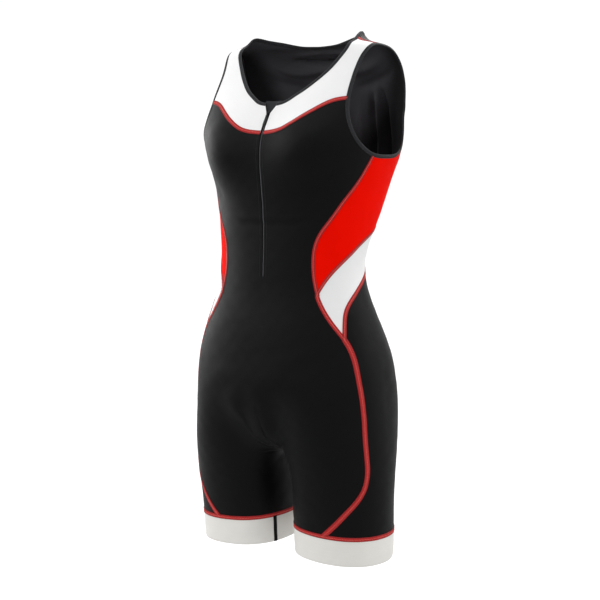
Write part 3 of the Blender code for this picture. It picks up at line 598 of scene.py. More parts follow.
def outward(around, row):
    """The unit normal of the form, pointing out of the body."""
    around, row = np.broadcast_arrays(np.asarray(around, float), np.asarray(row, float))
    step = NORMAL_STEP
    above = row > CROTCH - ON_CENTRE
    low = np.where(above & (around >= 0), np.maximum(around - step, 0), around - step)
    high = np.where(above & (around <= 1), np.minimum(around + step, 1), around + step)
    upwards = form(around, row + step) - form(around, row - step)
    normal = np.cross(form(high, row) - form(low, row), upwards)
    centred = above & ((np.abs(around) < ON_CENTRE) | (np.abs(around - 1) < ON_CENTRE))
    normal[..., 0] = np.where(centred, 0, normal[..., 0])
    return normal / np.linalg.norm(normal, axis=-1, keepdims=True)


def around_at(x, row):
    """The front's around coordinate that lies x to the left of the centre."""
    front, back = TRUNK_AT[2](row), TRUNK_AT[3](row)
    return np.arctan2(x, (back - front) / 2) / math.pi


def lengths(points):
    """How far along a run of points each one is."""
    return np.concatenate([[0], np.cumsum(np.linalg.norm(np.diff(points, axis=0), axis=1))])


waist_half = form(np.linspace(0, 1, 90), WAIST_ROW)
print("girth at the waist in mm:", round(2000 * lengths(waist_half)[-1]))

# %% [markdown]
# ## The seams
#
# Every seam is one smooth curve over the form, drawn through a few points in the form's own
# coordinates. A cut piece is the area between its seams. Each seam is sampled once, every few
# millimetres, and both pieces that meet there use the same samples, so no gap can open between them.

# %% Seam points
NECK_CORNER_X = 0.0105
NECK_CORNER_ROW = -0.110
ZIP_GAP_X = 0.0035
ZIP_JOIN_ROW = -0.122
YOKE_ROW = -0.1515
SLIT_X = 0.0016
ZIP_END = -0.373
SLIT_TAPER = 0.002
INSEAM_TURN = 0.06
INSEAM_SWING = 0.10
# around, row
NECK_FRONT = (
    (0.082, -0.1070), (0.131, -0.0985), (0.165, -0.0919), (0.236, -0.0740), (0.303, -0.0515),
    (0.345, -0.0330), (0.366, -0.0225), (0.402, 0.0000),
)
NECK_SHOULDER = (0.458, 0.025)
NECK_BACK = ((0.500, 0.033), (0.578, 0.030), (0.635, 0.025), (0.744, 0.012), (0.870, 0.006))
NECK_BACK_ROW = 0.004
ARM_SHOULDER = (0.468, -0.004)
ARM_YOKE = (
    (0.428, -0.0150), (0.405, -0.0260), (0.388, -0.0355), (0.374, -0.0450), (0.362, -0.0545),
    (0.351, -0.0650), (0.338, -0.0810),
)
ARM_CHEST = (0.328, -0.101)
ARM_FRONT = ((0.327, -0.127), (0.348, -0.156), (0.382, -0.174))
ARM_SIDE = (0.434, -0.187)
ARM_RED = ((0.512, -0.190), (0.590, -0.186))
ARM_REAR = (0.640, -0.168)
ARM_BACK = (
    (0.652, -0.140), (0.620, -0.100), (0.585, -0.062), (0.561, -0.035), (0.540, -0.017),
    (0.506, -0.007),
)
YOKE_SEAM = (
    (0.060, -0.1500), (0.098, -0.1470), (0.152, -0.1375), (0.205, -0.1252), (0.258, -0.1120),
    (0.296, -0.1040),
)
RED_FRONT = (
    (0.400, -0.223), (0.347, -0.258), (0.315, -0.284), (0.290, -0.306), (0.282, -0.325),
    (0.284, -0.349), (0.291, -0.374),
)
WAIST_FRONT = (0.302, -0.399)
WHITE_FRONT = ((0.325, -0.427), (0.347, -0.446))
HIP_POINT = (0.369, -0.464)
LEG_SEAM = (
    (0.383, -0.484), (0.390, -0.516), (0.396, -0.546), (0.403, -0.586), (0.410, -0.632),
    (0.417, -0.668), (0.411, -0.690), (0.393, -0.708), (0.362, -0.727), (0.326, -0.748),
)
HEM_POINT = 0.276
RED_WHITE = ((0.345, -0.376), (0.405, -0.352), (0.484, -0.327), (0.568, -0.308), (0.670, -0.297))
BACK_POINT = (0.778, -0.300)
RED_BACK = ((0.675, -0.205), (0.715, -0.240), (0.757, -0.272))
WHITE_BACK = (
    (0.765, -0.324), (0.710, -0.343), (0.640, -0.358), (0.569, -0.371), (0.500, -0.387),
    (0.432, -0.407), (0.400, -0.422), (0.382, -0.441),
)
SEAM_STEP = 0.004
SEAM_FINE = 300
CROTCH_EXTRA = 6
CROTCH_CROWD = 1.35
print("seam points every", 1000 * SEAM_STEP, "mm")

# %% Seams as smooth curves
def in_metres(points):
    """Points of around and row as metres, nearly true to size where the form is fullest."""
    return np.asarray(points, float) * (HALF_GIRTH, 1)


def spaced(path, start, end):
    """Points on the path from start to end, evenly spaced on the form itself."""
    fine = np.linspace(start, end, SEAM_FINE)
    at = lengths(form(*path(fine).T))
    wanted = np.linspace(0, at[-1], max(2, round(at[-1] / SEAM_STEP) + 1))
    return path(np.interp(wanted, at, fine))


def curves(stretches, closed=False):
    """One smooth curve through the stretches' points, cut where one stretch meets the next."""
    points, cuts = [stretches[0][0]], [0]
    for stretch in stretches:
        points += stretch[1:]
        cuts.append(len(points) - 1)
    lead = 3 if closed else 0
    run = np.array([*points[-1 - lead : -1], *points, *points[1 : 1 + lead]] if closed else points, float)
    at = lengths(in_metres(run))
    around, row = spline(at, run[:, 0]), spline(at, run[:, 1])
    return [
        spaced(lambda x: np.stack([around(x), row(x)], -1), at[i + lead], at[j + lead])
        for i, j in zip(cuts, cuts[1:])
    ]


def straight(start, end):
    """Evenly spaced points on the straight run from start to end."""
    start, end = np.array(start, float), np.array(end, float)
    return spaced(lambda x: start + np.multiply.outer(x, end - start), 0, 1)


def crotch_rows(end):
    """Rows from the crotch to an end above or below it, closest where the form turns fastest."""
    reach = abs(end - CROTCH)
    share = np.linspace(0, 1, round(reach / SEAM_STEP) + CROTCH_EXTRA)
    return CROTCH + math.copysign(1, end - CROTCH) * reach * share**CROTCH_CROWD


# %% [markdown]
# Where seams meet they share a point. A long edge that passes several pieces, such as the armhole's, is
# drawn as one curve and cut where its neighbour changes. The right half is the left in a mirror.

# %% Every seam of the left half
corner = (around_at(NECK_CORNER_X, NECK_CORNER_ROW), NECK_CORNER_ROW)
zip_join = (around_at(ZIP_GAP_X, ZIP_JOIN_ROW), ZIP_JOIN_ROW)
yoke_start = (around_at(ZIP_GAP_X, YOKE_ROW), YOKE_ROW)
slit_top = (around_at(SLIT_X, YOKE_ROW), YOKE_ROW)
slit_low = (around_at(SLIT_X, ZIP_END + SLIT_TAPER), ZIP_END + SLIT_TAPER)
hem_point = (HEM_POINT, HEM_ROW)
seam = {}
seam["neck_front"], seam["neck_back"] = curves(
    ((corner, *NECK_FRONT, NECK_SHOULDER), (NECK_SHOULDER, *NECK_BACK, (1.0, NECK_BACK_ROW)))
)
seam["arm_yoke"], seam["arm_front"], seam["arm_red"], seam["arm_back"] = curves(
    (
        (ARM_SHOULDER, *ARM_YOKE, ARM_CHEST),
        (ARM_CHEST, *ARM_FRONT, ARM_SIDE),
        (ARM_SIDE, *ARM_RED, ARM_REAR),
        (ARM_REAR, *ARM_BACK, ARM_SHOULDER),
    ),
    closed=True,
)
seam["shoulder"] = straight(NECK_SHOULDER, ARM_SHOULDER)
seam["zip_yoke"] = np.concatenate([straight(corner, zip_join), straight(zip_join, yoke_start)[1:]])
(seam["yoke"],) = curves(((yoke_start, *YOKE_SEAM, ARM_CHEST),))
seam["yoke_start"] = np.array([slit_top, yoke_start])
seam["slit"] = np.concatenate([straight(slit_top, slit_low), [(0.0, ZIP_END)]])
seam["red_front"], seam["white_front"], seam["leg"] = curves(
    (
        (ARM_SIDE, *RED_FRONT, WAIST_FRONT),
        (WAIST_FRONT, *WHITE_FRONT, HIP_POINT),
        (HIP_POINT, *LEG_SEAM, hem_point),
    )
)
(seam["red_white"],) = curves(((WAIST_FRONT, *RED_WHITE, BACK_POINT),))
seam["red_back"], seam["white_back"] = curves(
    ((ARM_REAR, *RED_BACK, BACK_POINT), (BACK_POINT, *WHITE_BACK, HIP_POINT))
)
rows = crotch_rows(HEM_ROW)
seam["inseam"] = np.stack([INSEAM_TURN * smooth((CROTCH - rows) / INSEAM_SWING), rows], -1)
rows = crotch_rows(ZIP_END)[::-1]
seam["centre_front"] = np.stack([0 * rows, rows], -1)
rows = crotch_rows(NECK_BACK_ROW)[::-1]
seam["centre_back"] = np.stack([0 * rows + 1, rows], -1)
seam["hem_front"] = straight(seam["inseam"][-1], hem_point)
seam["hem_back"] = straight(hem_point, seam["inseam"][-1] + (1, 0))
for name, path in seam.items():
    print(name, "seam in mm:", round(1000 * lengths(form(*path.T))[-1]))

# %% [markdown]
# ## Folds
#
# Stretch cloth that is filled out lies nearly smooth, but not quite. The inside of the back, which
# shows through the neck, has a fold that runs across below the neck, and soft upright folds by each
# armhole, where nothing pulls the cloth flat. There are short drag lines at the crotch and over the
# hips, and the edge of the inner bra shows faintly through the front. A cloth simulation would have to
# be told all this by its pattern, so each fold is listed here, as a soft trough or ridge that follows a
# line over the form and fades out at its ends.
# Under them lies a slow unevenness, and a finer one a fraction of that height.

# %% The folds, and how far the cloth stands off the form at any point
# height, half-width, side (1 is the wearer's left, -1 the right, 0 both), then points of around, row
FOLDS = (
    (0.0085, 0.004, 0, ((0.69, -0.025), (0.768, -0.028), (0.855, -0.03), (1, -0.032))),
    (-0.0062, 0.0085, 0, ((0.6, -0.016), (0.667, -0.038), (0.772, -0.048), (0.895, -0.046), (1, -0.045))),
    (0.005, 0.0075, 0, ((0.6, -0.036), (0.655, -0.056), (0.75, -0.07), (0.85, -0.076))),
    (-0.0026, 0.005, 0, ((0.69, -0.011), (0.76, -0.013), (0.88, -0.013), (1, -0.012))),
    (0.011, 0.0056, 1, ((0.755, -0.07), (0.768, -0.09), (0.795, -0.112), (0.814, -0.14), (0.84, -0.225))),
    (-0.008, 0.006, 1, ((0.712, -0.058), (0.748, -0.1), (0.762, -0.122), (0.78, -0.15), (0.792, -0.208))),
    (0.012, 0.0062, 1, ((0.7, -0.062), (0.73, -0.104), (0.742, -0.132), (0.748, -0.16), (0.746, -0.235))),
    (-0.006, 0.0064, 1, ((0.69, -0.09), (0.7, -0.115), (0.71, -0.145), (0.712, -0.2))),
    (-0.004, 0.008, 1, ((0.83, -0.08), (0.845, -0.11), (0.862, -0.14), (0.878, -0.2))),
    (0.005, 0.006, -1, ((0.79, -0.11), (0.806, -0.13), (0.818, -0.155), (0.83, -0.205))),
    (-0.0045, 0.007, -1, ((0.752, -0.1), (0.768, -0.125), (0.78, -0.155), (0.79, -0.205))),
    (0.0045, 0.006, -1, ((0.722, -0.1), (0.735, -0.125), (0.742, -0.155), (0.742, -0.205))),
    (0.0006, 0.003, 0, ((0, -0.283), (0.08, -0.283), (0.18, -0.281), (0.262, -0.272))),
    (-0.0007, 0.006, 0, ((0, -0.291), (0.08, -0.291), (0.18, -0.289), (0.262, -0.281))),
    (0.011, 0.024, -1, ((0.17, -0.54), (0.135, -0.58), (0.104, -0.612), (0.06, -0.634), (0.02, -0.65))),
    (0.0016, 0.0035, -1, ((0.062, -0.629), (0.042, -0.636), (0.024, -0.642), (0.012, -0.648))),
    (-0.001, 0.009, 0, ((1, -0.64), (0.95, -0.64), (0.88, -0.63), (0.8, -0.612))),
    (0.0004, 0.01, 0, ((0.3, -0.47), (0.23, -0.486), (0.15, -0.5), (0.08, -0.512))),
    (-0.0004, 0.01, 0, ((0.3, -0.492), (0.23, -0.508), (0.15, -0.524), (0.08, -0.536))),
    (-0.001, 0.008, 0, ((0.82, -0.33), (0.88, -0.338), (0.94, -0.342), (1, -0.343))),
    (0.0009, 0.009, 0, ((0.82, -0.35), (0.88, -0.358), (0.94, -0.362), (1, -0.363))),
    (-0.0009, 0.008, 0, ((0.82, -0.372), (0.88, -0.38), (0.94, -0.383), (1, -0.384))),
    (-0.001, 0.007, 1, ((0.34, -0.2), (0.3, -0.214), (0.262, -0.236), (0.235, -0.262))),
    (-0.001, 0.007, -1, ((0.34, -0.206), (0.305, -0.224), (0.27, -0.24), (0.245, -0.26))),
)
FOLD_STEPS = 16
FADE = 0.35
FOLD_REACH = 3
# height, length from crest to crest, and seed of each unevenness
UNEVEN = ((0.0003, 0.085, 3), (0.00012, 0.022, 8))
WAVES = 7
WAVE_LENGTHS = (0.7, 1.4)


def fold_paths():
    """Each fold's height, width, line in space and fade. One that reaches the centre goes on over it."""
    for height, width, only, points in FOLDS:
        points = np.array(points)
        at = lengths(in_metres(points))
        around, row = spline(at, points[:, 0]), spline(at, points[:, 1])
        steps = np.linspace(0, at[-1], FOLD_STEPS)
        line = form(around(steps), row(steps))
        mirrored = line * (-1, 1, 1)
        if points[-1, 0] in (0, 1):
            yield height, width, np.concatenate([line, mirrored[-2::-1]]), FADE / 2
        elif points[0, 0] in (0, 1):
            yield height, width, np.concatenate([line[::-1], mirrored[1:]]), FADE / 2
        else:
            for side in (1, -1) if only == 0 else (only,):
                yield height, width, line * (side, 1, 1), FADE


FOLD_PATHS = list(fold_paths())


def undulation(points, long, seed):
    """Smooth unevenness in space: a few waves, each running its own way."""
    chance = np.random.default_rng(seed)
    total = np.zeros(points.shape[:-1])
    for _ in range(WAVES):
        way = chance.normal(size=3)
        way *= 2 * math.pi / long / np.linalg.norm(way) * chance.uniform(*WAVE_LENGTHS)
        total += np.sin(points @ way + chance.uniform(0, 2 * math.pi))
    return total / math.sqrt(WAVES)


def nearest_on(line, points):
    """How far the points are from a line, and how far along it, as a share, their nearest places are."""
    near, share = np.full(len(points), np.inf), np.zeros(len(points))
    for i, (start, end) in enumerate(zip(line, line[1:])):
        along = end - start
        part = np.clip((points - start) @ along / (along @ along), 0, 1)
        gap = np.linalg.norm(points - start - part[:, None] * along, axis=1)
        share = np.where(gap < near, (i + part) / (len(line) - 1), share)
        near = np.minimum(near, gap)
    return near, share


def fold_height(points, height, width, line, fade):
    """How high a fold stands at each point: highest on its line, fading beside it and to its ends."""
    near, share = nearest_on(line, points)
    return height * smooth(share / fade) * smooth((1 - share) / fade) * np.exp(-((near / width) ** 2))


def relief(points):
    """How far the folded cloth stands off the form."""
    flat = points.reshape(-1, 3)
    total = sum(height * undulation(flat, long, seed) for height, long, seed in UNEVEN)
    for height, width, line, fade in FOLD_PATHS:
        middle, half = (line.min(axis=0) + line.max(axis=0)) / 2, np.ptp(line, axis=0) / 2
        here = (np.abs(flat - middle) < half + FOLD_REACH * width).all(axis=1)
        total[here] += fold_height(flat[here], height, width, line, fade)
    return total.reshape(points.shape[:-1])


def on_suit(path, side=1, lift=0.0):
    """Points that far above the folded cloth's middle, on the left (1) or right (-1), and the normals."""
    base, out = form(path[..., 0], path[..., 1]), outward(path[..., 0], path[..., 1])
    base, out = base * (side, 1, 1), out * (side, 1, 1)
    return base + out * (relief(base) + lift)[..., None], out


print("folds:", len(FOLD_PATHS))

# %% [markdown]
# ## Making meshes
#
# Three helpers make every mesh. The first builds an object from points and faces, gives each face its
# material, lays the "cloth" map over it in metres, and smooths it everywhere but at real corners. The
# second moves a line sideways over the form, so bindings and stitching run truly parallel to a seam.
# The third sweeps a closed cross-section along such a line, which makes bound edges, bands and tapes.

# %% Meshes, lines beside a seam, and swept strips
CLOTH = 0.0011
WELD = 1e-6
CORNER = math.radians(50)
BESIDE_STEP = 0.001


def make(name, points, faces, cloth, finishes, finish_of=None):
    """An object of its own: faces that share points, the map over them, and their materials."""
    mesh = bpy.data.meshes.new(name)
    mesh.from_pydata(points.tolist(), [], [tuple(int(i) for i in face) for face in faces])
    for finish in finishes:
        mesh.materials.append(finish)
    if finish_of is not None:
        mesh.polygons.foreach_set("material_index", np.asarray(finish_of, np.int32))
    corners = np.empty(len(mesh.loops), np.int32)
    mesh.loops.foreach_get("vertex_index", corners)
    layer = mesh.uv_layers.new(name="cloth")
    layer.uv.foreach_set("vector", np.asarray(cloth, np.float32)[corners].ravel())
    mesh.shade_smooth()
    mesh.validate()
    mesh.set_sharp_from_angle(angle=CORNER)
    return place(name, mesh)


def beside(path, aside, ring=False):
    """The path moved sideways over the form, to the left of its own way as seen from outside."""
    path, step = np.array(path, float), BESIDE_STEP
    for _ in range(2):
        around, row = path.T
        per_around = (form(around + step, row) - form(around - step, row)) / (2 * step)
        per_row = (form(around, row + step) - form(around, row - step)) / (2 * step)
        here = form(around, row)
        way = np.roll(here, -1, axis=0) - np.roll(here, 1, axis=0) if ring else np.gradient(here, axis=0)
        left = np.cross(np.cross(per_around, per_row), way)
        left *= aside / 2 / np.linalg.norm(left, axis=1, keepdims=True)
        aa, rr = (per_around**2).sum(1), (per_row**2).sum(1)
        ar, al, rl = (per_around * per_row).sum(1), (per_around * left).sum(1), (per_row * left).sum(1)
        size = aa * rr - ar**2
        path = path + np.stack([(al * rr - rl * ar) / size, (rl * aa - al * ar) / size], 1)
    return path


def swept(path, profile, side=1, ring=False):
    """The points of a closed profile of (aside, lift) at each point of a path, as a grid."""
    grid = [on_suit(beside(path, aside, ring), side, lift)[0] for aside, lift in profile]
    return np.stack(grid, 1)


def tube_faces(count, across, ring=False):
    """Faces of a grid that closes on itself across, capped at its ends unless it is a ring."""
    index = np.arange(count * across).reshape(count, across)
    if ring:
        index = np.concatenate([index, index[:1]])
    beyond = np.roll(index, -1, axis=1)
    faces = [*zip(index[:-1].flat, beyond[:-1].flat, beyond[1:].flat, index[1:].flat)]
    if not ring:
        faces += [tuple(index[0][::-1]), tuple(index[-1])]
    return faces


def facing_out(points, faces):
    """The faces, turned over if the closed body they bound is inside out."""
    volume = 0.0
    for face in faces:
        for i in range(1, len(face) - 1):
            volume += points[face[0]] @ np.cross(points[face[i]], points[face[i + 1]])
    return faces if volume > 0 else [tuple(reversed(face)) for face in faces]


def strip(name, grids, finish, ring=False):
    """One object from one swept grid or several, with the map running along it and across it."""
    points, faces, cloth = [], [], []
    for grid in grids:
        count, across = grid.shape[:2]
        body = facing_out(grid.reshape(-1, 3), tube_faces(count, across, ring))
        faces += [tuple(i + sum(map(len, points)) for i in face) for face in body]
        points.append(grid.reshape(-1, 3))
        along = np.broadcast_to(lengths(grid.mean(axis=1))[:, None], (count, across))
        round_it = np.linalg.norm(grid - grid[:, :1], axis=2)
        cloth.append(np.stack([along, round_it], -1).reshape(-1, 2))
    return make(name, np.concatenate(points), faces, np.concatenate(cloth), [finish])


print("cloth thickness in mm:", 1000 * CLOTH)

# %% [markdown]
# ## The cut pieces
#
# Each cloth is one closed body: an outer skin of face-side knit, an inner skin of the wrong side, and
# the cut edge between them. Its outline is the run of seams round it. The inside is filled with a
# staggered lattice of points a few millimetres apart, with two rows of points that follow the outline
# closely so that folds reach the seams, and all of it is triangulated at once. The front
# and the back are each one cloth across both halves, so their halves are joined along the centre.

# %% Filling an outline with points
MESH_STEP = 0.0048
FOLDED_STEP = 0.0026
FOLDED_AROUND = 0.56
FOLDED_ROW = -0.205
RIM_ROWS = (0.0016, 0.0038)
RIM_ROOM = 0.8
LATTICE_ROOM = 0.5
FINE_ROOM = 0.25
CROTCH_LINES = (0.0, 0.0004, 0.0012, 0.0025, 0.0045, 0.0070, 0.0100, 0.0135, 0.0175)
CROTCH_COLUMNS = (0.006, 0.013, 0.021, 0.030, 0.040, 0.051, 0.062, 0.073, 0.084, 0.095, 0.106)
SAME_POINT = 1e-9


def inside(points, outline):
    """Which points lie inside the outline, by counting the edges to their right."""
    hit = np.zeros(len(points), bool)
    for (x0, y0), (x1, y1) in zip(outline, np.roll(outline, -1, axis=0)):
        if y0 != y1:
            crosses = (points[:, 1] < y0) != (points[:, 1] < y1)
            hit ^= crosses & (points[:, 0] < x0 + (points[:, 1] - y0) * (x1 - x0) / (y1 - y0))
    return hit


def edge_distance(points, outline):
    """How far the points are from the outline, which closes on itself."""
    return nearest_on(np.concatenate([outline, outline[:1]]), points)[0]


def rim_points(outline, depth):
    """Points that follow the outline at one depth inside it."""
    way = np.roll(outline, -1, axis=0) - np.roll(outline, 1, axis=0)
    turned = np.stack([-way[:, 1], way[:, 0]], 1) / np.linalg.norm(way, axis=1, keepdims=True)
    points = outline + turned * depth
    return points[edge_distance(points, outline) > RIM_ROOM * depth]


def staggered(low, high, step):
    """A lattice of points whose rows are staggered."""
    pitch, lattice = step * math.sqrt(3) / 2, []
    for i, row in enumerate(np.arange(low[1] + pitch / 2, high[1], pitch)):
        across = np.arange(low[0] + step / 2 * (i % 2), high[0], step)
        lattice.append(np.stack([across, np.full(len(across), row)], 1))
    return np.concatenate(lattice)


def folded(points):
    """Whether points lie on the upper back, whose folds are sharp."""
    return (points[:, 0] > FOLDED_AROUND * HALF_GIRTH) & (points[:, 1] > FOLDED_ROW)


def inner_points(outline):
    """A lattice, rows that follow the outline, and a finer grid where the crotch turns."""
    low, high = outline.min(axis=0), outline.max(axis=0)
    coarse, fine = staggered(low, high, MESH_STEP), staggered(low, high, FOLDED_STEP)
    lattice = np.concatenate([coarse[~folded(coarse)], fine[folded(fine)]])
    from_centre = np.minimum(lattice[:, 0], HALF_GIRTH - lattice[:, 0])
    near_centre = from_centre < (CROTCH_COLUMNS[-1] + CROTCH_COLUMNS[0]) * HALF_GIRTH
    near_crotch = np.abs(lattice[:, 1] - CROTCH) < CROTCH_LINES[-1] + MESH_STEP / 2
    lattice = lattice[~(near_centre & near_crotch)]
    lattice = lattice[edge_distance(lattice, outline) > RIM_ROWS[-1] + LATTICE_ROOM * MESH_STEP]
    rows = sorted({CROTCH + side * d for d in CROTCH_LINES for side in (-1, 1)})
    around = [*CROTCH_COLUMNS, *(1 - c for c in CROTCH_COLUMNS)]
    finer = in_metres([(c, row) for c in around for row in rows])
    finer = finer[edge_distance(finer, outline) > RIM_ROWS[-1] + FINE_ROOM * MESH_STEP]
    rims = [rim_points(outline, depth) for depth in RIM_ROWS]
    points = np.concatenate([lattice, finer, *rims])
    return points[inside(points, outline)]


print("points of a cloth in mm:", 1000 * MESH_STEP, "apart, and on the upper back", 1000 * FOLDED_STEP)

# %% [markdown]
# One half of a cloth is triangulated flat, in the form's own coordinates, and then set on the form twice,
# half the cloth's thickness outwards and inwards. A wall of narrow faces closes the edge between them.

# %% Cutting one cloth
def outline_of(*names):
    """The run of seams round a piece. A minus sign takes one backwards, ' turns it round the body."""
    run = []
    for name in names:
        path = seam[name.strip("-'")] + ((1, 0) if name.endswith("'") else (0, 0))
        run.append(path[::-1][:-1] if name.startswith("-") else path[:-1])
    return np.concatenate(run)


def cut(outline, side):
    """The two skins and the edge of one half: points, faces, map, and which finish each face has."""
    flat = in_metres(outline)
    if np.cross(flat, np.roll(flat, -1, axis=0)).sum() < 0:
        flat = flat[::-1]
    count = len(flat)
    flat = np.concatenate([flat, inner_points(flat)])
    edges = [(i, (i + 1) % count) for i in range(count)]
    verts, _, faces, *_ = delaunay_2d_cdt([tuple(p) for p in flat], edges, [], 1, SAME_POINT)
    if len(verts) != len(flat):
        raise ValueError("a cloth's outline crosses itself")
    faces = np.array(faces)
    middle, out = on_suit(flat / (HALF_GIRTH, 1), side)
    points = np.concatenate([middle + out * CLOTH / 2, middle - out * CLOTH / 2])
    total = len(flat)
    walls = np.array([(b, a, a + total, b + total) for a, b in edges])
    skins = [faces, faces[:, ::-1] + total]
    if side < 0:
        skins, walls = [skin[:, ::-1] for skin in skins], walls[:, ::-1]
    cloth = np.concatenate([flat, flat]) * (side, 1)
    finish_of = [0] * len(faces) + [1] * len(faces) + [0] * len(walls)
    return points, [*skins[0].tolist(), *skins[1].tolist(), *walls.tolist()], cloth, finish_of


def cloth_piece(name, names, face_side, wrong_side, sides=(1,)):
    """One cloth object from its seams, over one half or both. Its halves are joined where they touch."""
    outline = outline_of(*names)
    points, faces, cloth, finish_of = [], [], [], []
    for side in sides:
        more = cut(outline, side)
        start = sum(map(len, points))
        points.append(more[0])
        faces += [tuple(i + start for i in face) for face in more[1]]
        cloth.append(more[2])
        finish_of += more[3]
    points, cloth = np.concatenate(points), np.concatenate(cloth)
    if len(sides) == 2:
        points, faces, cloth, finish_of = joined_halves(points, faces, cloth, finish_of)
    return make(name, points, faces, cloth, [face_side, wrong_side], finish_of)


def joined_halves(points, faces, cloth, finish_of):
    """Both halves with their points on the centre line shared, and the edges between them gone."""
    keep = np.arange(len(points))
    centred = np.flatnonzero(np.abs(points[:, 0]) < WELD)
    seen = {}
    for i in centred:
        keep[i] = seen.setdefault(tuple(np.round(points[i], 6)), i)
    kept_faces, kept_finish = [], []
    for face, finish in zip(faces, finish_of):
        face = [int(keep[i]) for i in face]
        if all(abs(points[i, 0]) < WELD for i in face):
            continue
        kept_faces.append(face)
        kept_finish.append(finish)
    used = np.unique([i for face in kept_faces for i in face])
    now_at = np.zeros(len(points), int)
    now_at[used] = np.arange(len(used))
    return points[used], [[now_at[i] for i in face] for face in kept_faces], cloth[used], kept_finish


# %% [markdown]
# The front and the back are black outside and greyer inside, and run across both halves. The yokes, the
# red sides and the white hip pieces are cut once for each side, from one colour right through.

# %% The cloths
FRONT_ROUND = (
    *("-slit", "yoke_start", "yoke", "arm_front", "red_front", "white_front"),
    *("leg", "-hem_front", "-inseam", "-centre_front"),
)
BACK_ROUND = (
    *("centre_back", "inseam'", "-hem_back", "-leg", "-white_back"),
    *("-red_back", "arm_back", "-shoulder", "neck_back"),
)
YOKE_ROUND = ("neck_front", "shoulder", "arm_yoke", "-yoke", "-zip_yoke")
RED_ROUND = ("arm_red", "red_back", "-red_white", "-red_front")
HIP_ROUND = ("red_white", "white_back", "-white_front")
front_cloth = cloth_piece("front_cloth", FRONT_ROUND, black_knit, black_inside, (1, -1))
back_cloth = cloth_piece("back_cloth", BACK_ROUND, black_knit, black_inside, (1, -1))
SIDE_CLOTHS = (
    # name, the seams round it, its knit
    ("yoke_cloth_", YOKE_ROUND, white_knit),
    ("side_cloth_", RED_ROUND, red_knit),
    ("hip_cloth_", HIP_ROUND, white_knit),
)
each_side = [
    [cloth_piece(name + tail, names, dyed, dyed, (side,)) for name, names, dyed in SIDE_CLOTHS]
    for side, tail in SIDES
]
yoke_cloths, red_cloths, hip_cloths = zip(*each_side)
for piece in (front_cloth, back_cloth, *yoke_cloths, *red_cloths, *hip_cloths):
    print(piece.name, len(piece.data.polygons), "faces")

# %% [markdown]
# ## Bound edges
#
# The neck and the armholes are bound with folded elastic, about five millimetres wide, that wraps the
# cloth's raw edge and stands a little proud of it on both sides. Its cross-section is a flat oval, a
# touch thicker along the folded edge than at the stitching, and it is swept along the edge of the
# opening. The neck's runs from one side of the zip round the back to the other; each armhole's is a
# closed ring.

# %% Neck and armhole bindings
BINDING_WIDTH = 0.0052
BINDING_THICK = 0.0023
BINDING_OVER = 0.0007
# how far across it, as a share, and how high, as a share of half its thickness
BINDING_TOP = (
    (0.00, 0.55), (0.035, 0.85), (0.09, 0.98), (0.15, 0.90), (0.21, 0.72), (0.30, 0.84), (0.45, 0.96),
    (0.60, 1.00), (0.75, 0.97), (0.88, 0.84), (0.96, 0.58), (1.00, 0.20),
)
# the outer face from the opening's edge to the stitching, then the inner face back again
binding_profile = [
    (share * (BINDING_WIDTH + BINDING_OVER) - BINDING_OVER, face * high * BINDING_THICK / 2)
    for face, across in ((1, BINDING_TOP), (-1, BINDING_TOP[::-1]))
    for share, high in across
]
binding_profile = binding_profile[-1:] + binding_profile[:-1]
neck_path = np.concatenate([seam["neck_front"], seam["neck_back"][1:]])
arm_path = np.concatenate([seam[n][:-1] for n in ("arm_yoke", "arm_front", "arm_red", "arm_back")])
left_half = swept(neck_path, binding_profile)
left_half[-1, :, 0] = 0
neck_grid = np.concatenate([left_half, swept(neck_path, binding_profile, -1)[-2::-1]])
neck_binding = strip("neck_edge", [neck_grid], binding_elastic)
arm_bindings = []
for side, tail in SIDES:
    arm_ring = swept(arm_path, binding_profile, side, ring=True)
    arm_bindings.append(strip("armhole_edge_" + tail, [arm_ring], binding_elastic, ring=True))
print("neck binding length in mm:", round(1000 * lengths(neck_grid.mean(axis=1))[-1]))

# %% [markdown]
# ## Leg bands and inseam tapes
#
# Each leg ends in a soft elastic band some four centimetres deep that holds the hem in place. It is a
# doubled band, folded at the bottom, so its lower edge is round and it is a little fuller in the
# middle. A strip of black cloth covers the join on the inside of the leg.

# %% Leg bands and inseam tapes
BAND_THICK = 0.0019
BAND_ROWS = 16
BAND_GAP = 0.0003
BAND_AT_SEAM = 0.72
BAND_FULL_BY = 0.25
BAND_AT_FOLD = 0.05
TAPE_HALF = 0.0033
TAPE_THICK = 0.0009
TAPE_ROWS = 14
TAPE_FROM = 0.0010
TAPE_TO = 0.0004
TAPE_BEVEL = (0.0006, 0.0003)
TAPE_CROWN = 0.0001
hem_around = np.concatenate([seam["hem_front"][:-1, 0], seam["hem_back"][:-1, 0]])
band_rows = np.linspace(HEM_ROW - BAND_GAP, HEM_END, BAND_ROWS)
# thinner at the seam, full from a quarter of the way down, rounded under at the fold
share = np.linspace(0, 1, BAND_ROWS)
fullness = BAND_AT_SEAM + (1 - BAND_AT_SEAM) * smooth(share / BAND_FULL_BY)
turn_under = np.clip(share * BAND_ROWS - (BAND_ROWS - 1), 0, 1)
band_half = BAND_THICK / 2 * fullness * np.sqrt(np.clip(1 - turn_under**2, BAND_AT_FOLD, 1))


def leg_band(side):
    """A closed ring of profile points round one leg."""
    rows = np.concatenate([band_rows, band_rows[::-1]])
    lift = np.concatenate([band_half, -band_half[::-1]])
    around, row = np.meshgrid(hem_around, rows, indexing="ij")
    return on_suit(np.stack([around, row], -1), side, lift + 0 * around)[0]


